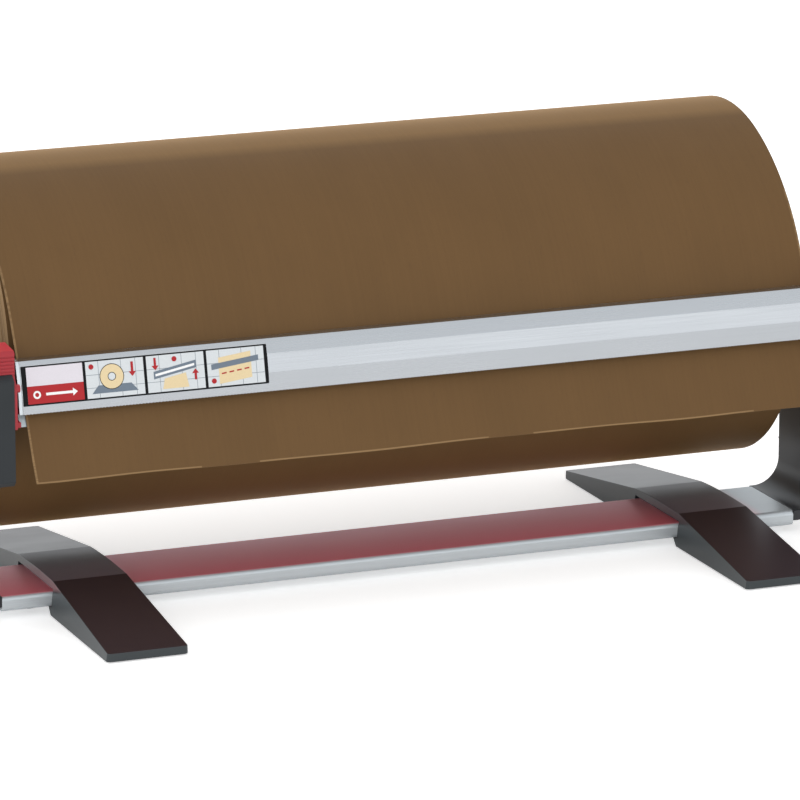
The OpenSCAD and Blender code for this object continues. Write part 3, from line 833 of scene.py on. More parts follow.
@dataclass(frozen=True)
class WoundEdge(KraftPaper):
    """The cut edges of wound paper or board: fine rings about the axle, lighter than the face.

    Attributes:
        layer: The spacing of the rings in millimetres. Paper is 0.1 mm thick; wider rings show.
        bands: How many broader bands there are to a ring, where the winding was tighter or looser.
    """

    layer: float = 0.55
    bands: float = 0.07

    def pattern(self, tree: Tree, shader: bpy.types.Node) -> None:
        """Adds rings and bands of slightly different tone about the axle, and the rings' relief.

        Args:
            tree: The material's node tree.
            shader: Its shader.
        """
        place = node(tree, "ShaderNodeTexCoord").outputs["Object"]
        centre = spot(0.0, *AXLE)
        away = node(tree, "ShaderNodeVectorMath", {"operation": "SUBTRACT"}, i0=place, i1=centre).outputs[0]
        flat = node(tree, "ShaderNodeVectorMath", {"operation": "MULTIPLY"}, i0=away, i1=(0.0, 1.0, 1.0)).outputs[0]
        radius = node(tree, "ShaderNodeVectorMath", {"operation": "LENGTH"}, i0=flat).outputs["Value"]
        steps = node(tree, "ShaderNodeMath", TIMES, i0=radius, i1=1.0 / (self.layer * MM)).outputs[0]
        single = {"noise_dimensions": "1D"}
        rings = node(tree, "ShaderNodeTexNoise", single, W=steps, Scale=1.0, Detail=2.0).outputs[0]
        bands = node(tree, "ShaderNodeTexNoise", single, W=steps, Scale=self.bands, Detail=1.0).outputs[0]
        base = linear(self.colour)
        tone = mottled(tree, base, linear(self.fleck), rings, 0.75)
        tone = mottled(tree, tone, toned(base, 1.18), bands, 0.6)
        relief = node(tree, "ShaderNodeBump", Height=rings, Distance=0.12 * MM).outputs[0]
        wire(tree, shader, Base_Color=tone, Normal=relief)


@dataclass(frozen=True)
class PrintedFilm(Finish):
    """A flat printing ink under a clear laminate, which gives it an even satin gloss."""

    specular: float = 0.3

    def pattern(self, tree: Tree, shader: bpy.types.Node) -> None:
        """Adds the laminate and the faint mottle of the ink.

        Args:
            tree: The material's node tree.
            shader: Its shader.
        """
        base = linear(self.colour)
        colour = mottled(tree, base, toned(base, 0.93), grain(tree, (0.5, 0.5, 0.5), detail=2.0))
        wire(tree, shader, Base_Color=colour, Coat_Weight=0.1, Coat_Roughness=0.15)


# Clear-anodised extrusions: a soft silver whose brush lines lie along the profile.
RAIL_SILVER = BrushedMetal("anodised aluminium, rail", "#BBBDC0", 0.26)
BACK_SILVER = BrushedMetal("anodised aluminium, back profile", "#B9C0C2", 0.38)
# The same alloy under the roll, with a painted burgundy reflection on its flat top, paler towards the back.
BASE_SILVER = BrushedMetal(
    "anodised aluminium, base", "#CBD1D5", 0.34, metallic=0.4, pitch=0.7, painted_light="#FF808F", painted_light_end=238.0
)
# Stamped from brushed sheet: a little lighter and duller than the rail that it closes.
CAP_SILVER = BrushedMetal("anodised aluminium, cap", "#D4D9DC", 0.36, pitch=0.4)
# Tumbled and zinc-plated steel: greyer, with a slightly cloudy gloss.
ZINC = BrushedMetal("zinc-plated steel", "#A9ACAE", 0.32, pitch=0.4)
# Ground steel strip: bright, with fine lines along the edge.
BLADE = BrushedMetal("ground spring steel", "#C4C8CB", 0.28, pitch=0.3)
# Bare drawn wire: darker, with the marks of the die.
WIRE = BrushedMetal("drawn spring wire", "#8C8E90", 0.30, pitch=0.3)
# Satin black ABS with a fine grain, which mirrors what lies beyond it at a low angle. The slopes carry a
# painted reddish-brown reflection on top, and the level middle a lighter, greyer painted highlight.
FOOT_BLACK = MouldedPlastic(
    "satin ABS, feet", "#2C3336", 0.30, ior=1.52, depth=0.004, painted_light="#3A2E31", level="#6B5D63"
)
# Glass-filled nylon of the side frames, smoother than the housings.
FRAME_GREY = MouldedPlastic("glass-filled nylon, side frames", "#2C2D30", 0.36, specular=0.4, depth=0.006)
# ABS from a spark-eroded mould: the grain breaks the highlights up into a dull sheen.
HOUSING_GREY = MouldedPlastic("grained ABS, housings", "#262A2D", 0.46, specular=0.3, cell=0.8, depth=0.012)
# The buttons' upright faces are a deeper red than their tops: painted shade on the fronts and painted light from above
# on the tops.
BUTTON_RED = MouldedPlastic("red ABS, buttons", "#A22831", 0.34, specular=0.4, depth=0.004, painted_light="#C23540")
# Plain black nylon of the turning parts: a soft, slightly greasy gloss.
BLACK_NYLON = MouldedPlastic("black nylon, bushes and plugs", "#1A1A1B", 0.45, depth=0.01)
# Moulded rubber: nearly matt, with a coarse grain.
RUBBER = MouldedPlastic("black rubber", "#141414", 0.75, cell=1.2, depth=0.03)
# Brown kraft paper: the face is matt, with a painted highlight along the roll's top; the cut edges are paler.
KRAFT_FACE = KraftPaper("kraft paper, face", "#674D2F", 0.62, painted_crest_highlight="#7D5F3A")
KRAFT_EDGE = WoundEdge("kraft paper, cut edges", "#8C714F", 0.85, fleck="#654D35")
# Grey board, spirally wound: its cut end shows broad soft rings.
BOARD_EDGE = WoundEdge("wound grey board", "#A79678", 0.85, fleck="#7C6C52", layer=0.9)


class Ink(Enum):
    """The inks of the printed strip."""

    FRAME = PrintedFilm("black ink", "#0C0D0F", 0.4, specular=0.08)
    PALE = PrintedFilm("pale ink", "#DDD8DF", 0.4)
    RED = PrintedFilm("red ink", "#AC141D", 0.4)
    GROUND = PrintedFilm("light grey ink", "#D4D9DC", 0.4)
    TILE = PrintedFilm("mid grey ink", "#8E979F", 0.4)
    BOARD = PrintedFilm("beige ink", "#E3CEA3", 0.4)
    SLATE = PrintedFilm("slate ink", "#6C7987", 0.4)
    WHITE = PrintedFilm("white ink", "#F2F2F2", 0.4)


def dress(piece: Piece, finish: Finish, body: str, slot: str, *nodes: str) -> Piece:
    """Gives a piece its finish and its place in the frame.

    Args:
        piece: The piece.
        finish: Its finish.
        body: The CAD body that it moves with.
        slot: The record's material slot. Not used.
        *nodes: The CAD nodes that it stands for.

    Returns:
        The piece.
    """
    if not piece.data.materials:
        piece.data.materials.append(finish.material())
    if nodes:
        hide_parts(*nodes)
    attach(piece, body)
    log.info("%s: %s, %d faces", piece.name, finish.name, len(piece.data.polygons))
    return piece


def dress_pair(right: Piece, finish: Finish, body: str, slot: str, node_name: str) -> None:
    """Dresses a piece of the right end, and its mirror image at the left end.

    Args:
        right: The piece. Its name starts with right, and its twin's with left.
        finish: Their finish.
        body: The CAD body that both move with.
        slot: The record's material slot.
        node_name: The CAD node at the right end. Its name starts with right, and its twin's with left.
    """
    dress(right, finish, body, slot, node_name)
    left = mirrored(right, right.name.replace("right", "left", 1))
    dress(left, finish, body, slot, node_name.replace("right", "left", 1))


def coat(name: str, finish: Finish) -> None:
    """Gives a CAD node that stays as it is a better material.

    Args:
        name: The CAD node.
        finish: Its finish.
    """
    found = bpy.data.objects[name]
    found.data.materials.clear()
    found.data.materials.append(finish.material())
    log.info("%s: %s", name, finish.name)


# ---------------------------------------------------------------- the stand


@dataclass
class Stand:
    """The flat base, its two feet on rubber pads, and the side frames that grow out of its ends."""

    half_base: float = 254.1
    base_top: float = 15.3
    half_width: float = 31.85
    base_lift: float = 5.8
    play: float = 0.05
    foot_x: float = 200.0
    foot_width: float = 49.6
    foot_draft: float = 0.0995
    foot_front: float = -133.7
    foot_back: float = 139.6
    foot_corner: float = 3.0
    toe_z: float = 5.7
    sole_z: float = 0.8
    lip: float = 6.0
    crown: Sequence[Point] = (
        (-31.0, 21.1),
        (-23.0, 21.29),
        (-15.0, 21.44),
        (-7.0, 21.54),
        (0.85, 21.58),
        (9.0, 21.5),
        (17.5, 21.27),
        (26.0, 20.89),
        (34.5, 20.4),
    )
    wall: float = 2.8
    pocket_toe: float = 26.0
    pocket_mid: Point = (-34.6, 34.7)
    joint_half: float = 32.5
    joint_z: Point = (-1.0, 1.3)
    joint_depth: float = 3.2
    pad_r: float = 8.0
    pad_h: float = 2.2
    pad_toe: float = 13.0
    frame_t: float = 6.5
    bend_r: float = 17.0
    inner_x: float = 273.6
    head_foot: float = 45.0
    seat_r: float = 10.3

    def base(self) -> None:
        """Builds the base from its extrusion, with its saw-cut ends broken."""
        base = from_node("base_extrusion", "base", 1.3, 4)
        dress(base, BASE_SILVER, "stand", "base_aluminium", "base_extrusion")

    def foot_outline(self) -> list[Point]:
        """The foot from the side, with the gap that the base lies in.

        Returns:
            The outline's corners.
        """
        gap, under = self.half_width + self.play, self.base_lift - self.play
        return [
            (self.foot_front, self.sole_z),
            (self.foot_front, self.toe_z),
            *self.crown,
            (self.foot_back, self.toe_z),
            (self.foot_back, self.sole_z),
            (self.half_width, self.sole_z),
            (self.half_width - self.lip, under),
            (gap, under),
            (gap, self.base_top),
            (-gap, self.base_top),
            (-gap, under),
            (self.lip - self.half_width, under),
            (-self.half_width, self.sole_z),
        ]

    def drafted(self, piece: Piece) -> Piece:
        """Leans the sides of a foot or its pocket in towards the top.

        Args:
            piece: The foot or the pocket.

        Returns:
            The same piece.
        """
        for vertex in piece.data.vertices:
            across = vertex.co.x - self.foot_x * MM
            vertex.co.x -= math.copysign(self.foot_draft * vertex.co.z, across)
        return piece

    def height_at(self, y: float) -> float:
        """The height of the foot's slope at a distance from the middle of the base."""
        (crown_y, crown_z), end = (self.crown[0], self.foot_front) if y < 0 else (self.crown[-1], self.foot_back)
        return crown_z + (self.toe_z - crown_z) * (y - crown_y) / (end - crown_y)

    def foot_plan(self, low: float, high: float) -> list[Point]:
        """The foot from above, with its corners rounded.

        Args:
            low: Its left side.
            high: Its right side.

        Returns:
            The outline's corners.
        """
        r = self.foot_corner
        corners = (
            (high - r, self.foot_back - r, 0),
            (low + r, self.foot_back - r, 90),
            (low + r, self.foot_front + r, 180),
            (high - r, self.foot_front + r, 270),
        )
        return [point for x, y, start in corners for point in arc((x, y), r, start, start + 90, 6)]

    def feet(self) -> None:
        """Builds the feet: two long slopes, a crowned middle with crisp creases, and hollow undersides."""
        low, high = self.foot_x - self.foot_width / 2, self.foot_x + self.foot_width / 2
        foot = self.drafted(bar("right_foot_shell", self.foot_outline(), Plane.SIDE, low, high))
        plan = bar("plan", self.foot_plan(low, high), Plane.PLAN, -1.0, 30.0)
        modified(foot, "BOOLEAN", operation="INTERSECT", solver="EXACT", object=plan)
        bpy.data.objects.remove(plan)
        front, back = self.pocket_mid
        for start, end in ((self.foot_front + self.pocket_toe, front), (back, self.foot_back - self.pocket_toe)):
            roof = [(y, self.height_at(y) - self.wall) for y in (start, end)]
            pocket = [(start, 0.0), roof[0], roof[1], (end, 0.0)]
            carved(foot, self.drafted(bar("pocket", pocket, Plane.SIDE, low + self.wall, high - self.wall)))
        # A shallow relief leaves a dark joint between the arch and the base.
        below, above = (self.base_top + z for z in self.joint_z)
        half = self.joint_half
        joint = [(-half, below), (-half, above), (half, above), (half, below)]
        for x in (low, high):
            carved(foot, bar("joint", joint, Plane.SIDE, x - self.joint_depth, x + self.joint_depth))
        softened(foot, 0.7, 3)
        creased(foot, 4.0, 9.5)
        smoothed(foot)
        dress_pair(foot, FOOT_BLACK, "stand", "dark_plastic", "right_foot")

    def pads(self) -> None:
        """Builds the round pads with their edges broken."""
        pads = []
        for x in (-self.foot_x, self.foot_x):
            for y in (self.foot_front + self.pad_toe, self.foot_back - self.pad_toe):
                pad = rod(f"pad_{len(pads)}", spot(x, y, self.pad_h / 2), self.pad_r, self.pad_h, 40)
                pads.append(softened(pad, 0.4))
        dress(smoothed(joined(pads)), RUBBER, "stand", "rubber", "foot_pads")
        pads[0].name = "rubber_pads"

    def head_outline(self) -> list[Point]:
        """The plate of a side frame above its bend, with the open seat for the axle's bush.

        Returns:
            The outline's corners.
        """
        back, up = AXLE
        top, seat = up + 11.4, self.seat_r
        return [
            (-31.85, 44.0),
            *arc((-65.85, 60.0), 34.0, 0, 90, 16),
            (-77.0, 94.0),
            (-80.0, 97.0),
            (-80.0, 156.0),
            (-76.0, 162.0),
            (-52.2, 162.0),
            (-52.2, 169.4),
            (-42.3, 169.4),
            (-32.3, top),
            (back - seat - 3.0, top),
            (back - seat, top - 4.0),
            *arc((back, up), seat, 180, 360, 24),
            (back + seat, top - 4.0),
            (back + seat + 3.0, top),
            (back + 22.0, top),
            *arc((back, 134.1), 22.0, 0, -90, 16),
            *arc((65.85, 78.1), 34.0, 90, 180, 16),
            (31.85, 44.0),
        ]

    def side_frames(self) -> None:
        """Builds the side frames: a bent strip from the base, fused with the head that it widens into."""
        corner, outer = (self.half_base + 2.5, self.base_top + self.bend_r), self.inner_x + self.frame_t
        strip = [
            (self.half_base, self.base_top),
            *arc(corner, self.bend_r, -90, 0, 20),
            (self.inner_x, self.head_foot),
            (outer, self.head_foot),
            *arc(corner, self.bend_r + self.frame_t, 0, -90, 24),
            (self.half_base, self.base_top - self.frame_t),
        ]
        frame = bar("right_side_frame", strip, Plane.FRONT, -self.half_width, self.half_width)
        united(frame, bar("head", self.head_outline(), Plane.SIDE, self.inner_x, outer))
        softened(frame, 0.7, 3, angle=35.0)
        smoothed(frame, 30.0)
        tongues = from_node("right_upright", "right_tongues", 0.2)
        kept_up_to(tongues, self.half_base * MM)
        dress_pair(joined([frame, tongues]), FRAME_GREY, "stand", "grey_plastic", "right_upright")

    def build(self) -> None:
        """Builds the whole stand."""
        self.base()
        self.feet()
        self.pads()
        self.side_frames()


# ---------------------------------------------------------------- screws


@dataclass
class Screws:
    """Pan-head screws with a cross recess, one model copied to every place."""

    head_r: float = 3.5
    head_h: float = 2.2
    shank_r: float = 1.65
    slot_length: float = 4.0
    slot_width: float = 0.8
    slot_depth: float = 2.4
    overlap: float = 0.2
    under_base: float = 5.8
    foot_x: float = 200.0
    foot_off: Point = (12.0, 20.0)
    frame_off: Point = (234.1, 20.0)
    housing_x: float = 280.1
    housing_places: Sequence[Point] = ((-58.0, 101.0), (-48.8, 138.0))

    def model(self, length: float) -> Piece:
        """One screw that points along +Z, with the underside of its head at the origin.

        Args:
            length: The length of its shank.

        Returns:
            The screw, to be copied.
        """
        head = rod("screw", Vector((0, 0, -self.head_h / 2)) * MM, self.head_r, self.head_h, 32)
        softened(head, 0.5, 3)
        for x, y in ((self.slot_length, self.slot_width), (self.slot_width, self.slot_length)):
            carved(head, block("cross", (x, y, self.slot_depth), (0, 0, -self.head_h), Matrix.Identity(4)))
        middle = Vector((0, 0, length / 2 - self.overlap)) * MM
        shank = rod("shank", middle, self.shank_r, length + 2 * self.overlap, 20)
        softened(shank, 0.3, 1)
        return smoothed(joined([head, shank]))

    def set(self, name: str, length: float, places: Sequence[Matrix], node_name: str) -> None:
        """Puts copies of a screw in their places in the stand.

        Args:
            name: The new piece's name.
            length: The length of the shanks.
            places: Where each goes and how it is turned.
            node_name: The CAD node that they stand for.
        """
        first = self.model(length)
        screws = [copied(first, f"{name}_{i}", place) for i, place in enumerate(places)]
        bpy.data.objects.remove(first)
        piece = joined(screws)
        piece.name = name
        dress(piece, ZINC, "stand", "steel", node_name)

    def build(self) -> None:
        """Sets all the screws: two under each foot, two under each end of the base, two in each housing."""
        across, along = self.foot_off
        feet = [
            spot(side * self.foot_x + x, -side * math.copysign(along, x), self.under_base)
            for side in (-1, 1)
            for x in (-across, across)
        ]
        self.set("foot_screws_cross", 13.5, [Matrix.Translation(place) for place in feet], "foot_screws")
        out, along = self.frame_off
        frames = [spot(side * out, y, self.under_base) for side in (-1, 1) for y in (-along, along)]
        self.set("frame_screws_cross", 6.7, [Matrix.Translation(place) for place in frames], "upright_screws")
        inward = []
        for side in (-1, 1):
            turn = Matrix.Rotation(math.radians(-90.0 * side), 4, "Y")
            inward += [Matrix.Translation(spot(side * self.housing_x, y, z)) @ turn for y, z in self.housing_places]
        self.set("housing_screws_cross", 14.1, inward, "housing_screws")


# ---------------------------------------------------------------- the cutter


@dataclass
class PrintedStrip:
    """A film strip with four printed panels. The motifs are plain shapes of its own: rolls, sheets, arrows.

    Attributes:
        frame: The strip's own frame, from its lower left corner.
        length: Its length.
        height: Its height.
        panels: The left and right edge of each panel.
        floor: The lower edge of the panels.
        ceiling: Their upper edge.
        lift: How far the first ink stands out of the strip's frame.
        ink_step: How far each further ink stands out.
        left: The left edge of the panel in hand.
        shapes: The printed shapes so far.
    """

    frame: Matrix
    length: float
    height: float
    panels: Sequence[Point] = ((2.9, 36.75), (38.5, 73.5), (75.3, 110.3), (112.05, 147.05))
    floor: float = 0.7
    ceiling: float = 21.8
    lift: float = 0.2
    ink_step: float = 0.03
    left: float = 0.0
    shapes: list[Piece] = field(default_factory=list)

    def shape(self, points: Sequence[Point], ink: Ink, level: int) -> None:
        """Prints one flat shape.

        Args:
            points: Its corners, from the panel's left edge and the strip's lower edge.
            ink: Its ink.
            level: How many inks lie under it.
        """
        let_go()
        bpy.ops.mesh.primitive_circle_add(vertices=len(points), fill_type="NGON")
        piece = added(f"ink_{len(self.shapes)}")
        for vertex, (x, y) in zip(piece.data.vertices, points):
            vertex.co = self.frame @ (Vector((self.left + x, y, self.lift + self.ink_step * level)) * MM)
        out = self.frame.to_3x3() @ Vector((0, 0, 1))
        if piece.data.polygons[0].normal.dot(out) < 0:
            piece.data.flip_normals()
        piece.data.materials.append(ink.value.material())
        self.shapes.append(piece)

    def box(self, width: float, high: float, ink: Ink, level: int) -> None:
        """Prints a rectangle as wide as the panel, from its floor up."""
        self.shape([(0.0, self.floor), (width, self.floor), (width, high), (0.0, high)], ink, level)

    def disc(self, x: float, y: float, radius: float, ink: Ink, level: int) -> None:
        """Prints a disc with 28 corners."""
        self.shape(arc((x, y), radius, 0, 360 - 360 / 28, 27), ink, level)

    def stroke(self, start: Point, end: Point, width: float, ink: Ink, level: int) -> None:
        """Prints a straight stroke.

        Args:
            start: Where it starts.
            end: Where it ends.
            width: Its width.
            ink: Its ink.
            level: How many inks lie under it.
        """
        way = Vector((end[0] - start[0], end[1] - start[1]))
        side = Vector((-way.y, way.x)).normalized() * width / 2
        corners = [Vector(start) - side, Vector(end) - side, Vector(end) + side, Vector(start) + side]
        self.shape([(c.x, c.y) for c in corners], ink, level)

    def arrow(self, start: Point, end: Point, width: float, ink: Ink, level: int) -> None:
        """Prints a straight arrow whose head is three strokes wide.

        Args:
            start: Where its stroke starts.
            end: Its point.
            width: The width of its stroke.
            ink: Its ink.
            level: How many inks lie under it.
        """
        way = (Vector(end) - Vector(start)).normalized()
        neck = Vector(end) - way * 1.9 * width
        self.stroke(start, (neck.x, neck.y), width, ink, level)
        side = Vector((-way.y, way.x)) * 1.5 * width
        self.shape([(c.x, c.y) for c in (neck - side, Vector(end), neck + side)], ink, level)

    def tiles(self, width: float) -> None:
        """Prints the pale ground of a panel with a few thin joints.

        Args:
            width: The panel's width.
        """
        self.box(width, self.ceiling, Ink.GROUND, 1)
        for share in (0.22, 0.61, 0.86):
            self.stroke((share * width, self.floor), (share * width, self.ceiling), 0.3, Ink.TILE, 2)
        for y in (6.6, 14.1):
            self.stroke((0.0, y), (width, y), 0.3, Ink.TILE, 2)

    def red_panel(self, width: float) -> None:
        """Prints the first panel: pale above, red below with a plain arrow to the right.

        Args:
            width: The panel's width.
        """
        self.box(width, self.ceiling, Ink.PALE, 1)
        self.box(width, self.floor + 10.2, Ink.RED, 2)
        self.disc(5.6, 5.8, 2.3, Ink.WHITE, 3)
        self.disc(5.6, 5.8, 1.2, Ink.RED, 4)
        self.arrow((11.0, 5.8), (30.0, 5.8), 1.5, Ink.WHITE, 3)

    def roll_panel(self, width: float) -> None:
        """Prints a roll from its end on a slate stand, and an arrow down into it.

        Args:
            width: The panel's width.
        """
        self.tiles(width)
        self.shape([(3.0, 3.2), (31.0, 3.2), (27.0, 7.8), (7.0, 7.8)], Ink.SLATE, 3)
        rings = ((7.4, Ink.FRAME), (7.0, Ink.BOARD), (2.5, Ink.FRAME), (2.1, Ink.GROUND))
        for level, (radius, ink) in enumerate(rings, start=4):
            self.disc(15.5, 12.4, radius, ink, level)
        self.arrow((28.0, 19.8), (28.0, 11.4), 1.5, Ink.RED, 6)
        self.disc(3.4, 18.8, 1.5, Ink.RED, 6)

    def press_panel(self, width: float) -> None:
        """Prints a rail from the side with two red arrows that press on its ends.

        Args:
            width: The panel's width.
        """
        self.tiles(width)
        self.shape([(4.0, 8.2), (30.0, 13.0), (30.0, 17.4), (4.0, 12.6)], Ink.SLATE, 3)
        self.shape([(5.0, 9.8), (29.0, 14.2), (29.0, 15.6), (5.0, 11.2)], Ink.WHITE, 4)
        self.shape([(9.0, 2.2), (25.0, 2.2), (23.5, 10.6), (10.5, 8.2)], Ink.BOARD, 5)
        self.arrow((5.2, 20.6), (5.2, 13.4), 1.4, Ink.RED, 6)
        self.arrow((29.4, 6.0), (29.4, 12.4), 1.4, Ink.RED, 6)
        self.disc(17.0, 19.0, 1.5, Ink.RED, 6)

    def tear_panel(self, width: float) -> None:
        """Prints a sheet that hangs over a rail, with a dashed red line across it.

        Args:
            width: The panel's width.
        """
        self.tiles(width)
        self.shape([(7.0, 2.0), (27.0, 4.4), (27.0, 19.6), (7.0, 17.2)], Ink.BOARD, 3)
        self.shape([(2.5, 10.4), (31.5, 13.8), (31.5, 17.0), (2.5, 13.6)], Ink.SLATE, 4)
        for i in range(4):
            x, rise = 8.6 + 4.7 * i, 0.56 * i
            self.stroke((x, 7.9 + rise), (x + 2.9, 8.25 + rise), 0.8, Ink.RED, 5)
        self.disc(3.6, 4.0, 1.5, Ink.RED, 6)

    def build(self) -> None:
        """Builds the film and prints on it."""
        film = block(
            "film_strip", (self.length, self.height, 0.5), (self.length / 2, self.height / 2, -0.05), self.frame
        )
        softened(film, 0.12, 2)
        film.data.materials.append(Ink.FRAME.value.material())
        printers = (self.red_panel, self.roll_panel, self.press_panel, self.tear_panel)
        for (left, right), printer in zip(self.panels, printers):
            self.left = left
            printer(right - left)
        dress(joined([film, *self.shapes]), Ink.FRAME.value, "rail", "label_print", "label_strip")


@dataclass
class Cutter:
    """The toothed rail in front of the sheet, its caps and printed strip, and the fixed profile behind."""

    hinge: Point = (-58.949, 160.504)
    knuckle_r: float = 3.5
    face: Sequence[Point] = ((-67.949, 164.504), (-70.847, 156.089), (-73.299, 145.468), (-74.816, 134.674))
    heel: Point = (-68.178, 134.674)
    half: float = 253.2
    cap_x: float = 255.4
    low_lean: float = 8.0
    tooth_pitch: float = 2.0
    tooth_depth: float = 0.7
    tooth_rise: float = 0.2
    blade_back: float = 6.0
    blade_in: float = 2.05
    blade_t: float = 0.8
    strip_x: float = -252.5
    strip_length: float = 148.8
    strip_height: float = 22.4
    strip_rise: float = 4.906
    seat_play: float = 0.2
    seat_depth: float = 0.3

    def body_outline(self) -> list[Point]:
        """The rail from the end: three facets, the knuckle round the hinge line, and the flat at the sheet."""
        return [self.face[0], *arc(self.hinge, self.knuckle_r, 90, -27, 12), self.heel, *reversed(self.face[1:])]

    def seat_frame(self) -> Matrix:
        """The printed strip's own frame.

        Returns:
            The frame: X along the rail, Y up its face, Z out of it, from the strip's lower left.
        """
        top, low = self.face[0], self.face[-1]
        up = Vector((0.0, top[0] - low[0], top[1] - low[1])).normalized()
        out = Vector((1.0, 0.0, 0.0)).cross(up)
        origin = spot(self.strip_x, *low) + up * self.strip_rise * MM
        turned = Matrix((Vector((1, 0, 0)), up, out)).transposed().to_4x4()
        return Matrix.Translation(origin) @ turned

    def rail(self) -> None:
        """Builds the rail with the shallow seat of its printed strip."""
        rail = bar("rail_profile", self.body_outline(), Plane.SIDE, -self.half, self.half)
        length, height, thick = self.strip_length, self.strip_height, 4.0
        size = (length + 2 * self.seat_play, height + 2 * self.seat_play, thick)
        centre = (length / 2, height / 2, thick / 2 - self.seat_depth)
        carved(rail, block("seat", size, centre, self.seat_frame()))
        softened(rail, 0.25, 2, angle=4.0)
        smoothed(rail, 25.0)
        dress(rail, RAIL_SILVER, "rail", "anodised_aluminium", "cutter_rail")

    def caps(self) -> None:
        """Builds the thin caps on the rail's ends."""
        cap = bar("right_cap", self.body_outline(), Plane.SIDE, self.half, self.cap_x)
        softened(cap, 0.4, 2, angle=12.0)
        smoothed(cap, 25.0)
        dress_pair(cap, CAP_SILVER, "rail", "anodised_aluminium", "right_rail_cap")

    def blade(self) -> None:
        """Builds the toothed blade in the rail's lower lip."""
        count = int((2 * self.half - 1) / self.tooth_pitch)
        reach, root = count * self.tooth_pitch / 2, self.tooth_rise
        teeth = []
        for i in range(count):
            x = -reach + i * self.tooth_pitch
            teeth += [(x, root), (x + self.tooth_pitch / 2, root - self.tooth_depth)]
        points = [(-reach, self.blade_back), *teeth, (reach, root), (reach, self.blade_back)]
        blade = outline("toothed_blade", points, Plane.FRONT, 0.0)
        lean = Matrix.Rotation(math.radians(-self.low_lean), 4, "X")
        origin = spot(0.0, *self.face[-1])
        blade.data.transform(Matrix.Translation(origin) @ lean @ Matrix.Translation(-spot(0, 0, 0)))
        into = lean @ Vector((0.0, 1.0, 0.0))
        blade.data.transform(Matrix.Translation(into * self.blade_in * MM))
        with editing(blade):
            bpy.ops.mesh.extrude_region_move(TRANSFORM_OT_translate={"value": into * self.blade_t * MM})
        facing_out(blade)
        dress(blade, BLADE, "rail", "blade_steel", "cutter_blade")

    def build(self) -> None:
        """Builds the cutter."""
        self.rail()
        self.caps()
        self.blade()
        PrintedStrip(self.seat_frame(), self.strip_length, self.strip_height).build()
        profile = from_node("back_profile", "back_channel", 0.3)
        dress(profile, BACK_SILVER, "stand", "anodised_aluminium", "back_profile")
        for crank in ("left_crank", "right_crank"):
            dress(from_node(crank, f"{crank}_arm", 0.3), ZINC, "rail", "steel", crank)


# ---------------------------------------------------------------- housings and buttons


@dataclass
class Ends:
    """The housings at the ends of the cutter, with their red buttons and springs."""

    travel: float = 4.5

    def spring(self, side: str) -> None:
        """Builds a button's return spring.

        Args:
            side: The end, left or right.
        """
        coil = from_node(f"{side}_button_spring", f"{side}_coil_spring", 0.0)
        dress(coil, WIRE, "stand", "spring_steel", f"{side}_button_spring")
        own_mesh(coil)

    def build(self) -> None:
        """Builds both ends."""
        for side, press in (("left", "left_press"), ("right", "right_press")):
            shell = from_node(f"{side}_housing", f"{side}_housing_shell", 0.45, 3)
            dress(shell, HOUSING_GREY, "stand", "grey_plastic", f"{side}_housing")
            button = from_node(f"{side}_button", f"{side}_red_button", 0.25, 2)
            dress(button, BUTTON_RED, press, "red_plastic", f"{side}_button")
            self.spring(side)
        coat("back_profile_screws", ZINC)


# ---------------------------------------------------------------- the roll and its sheet


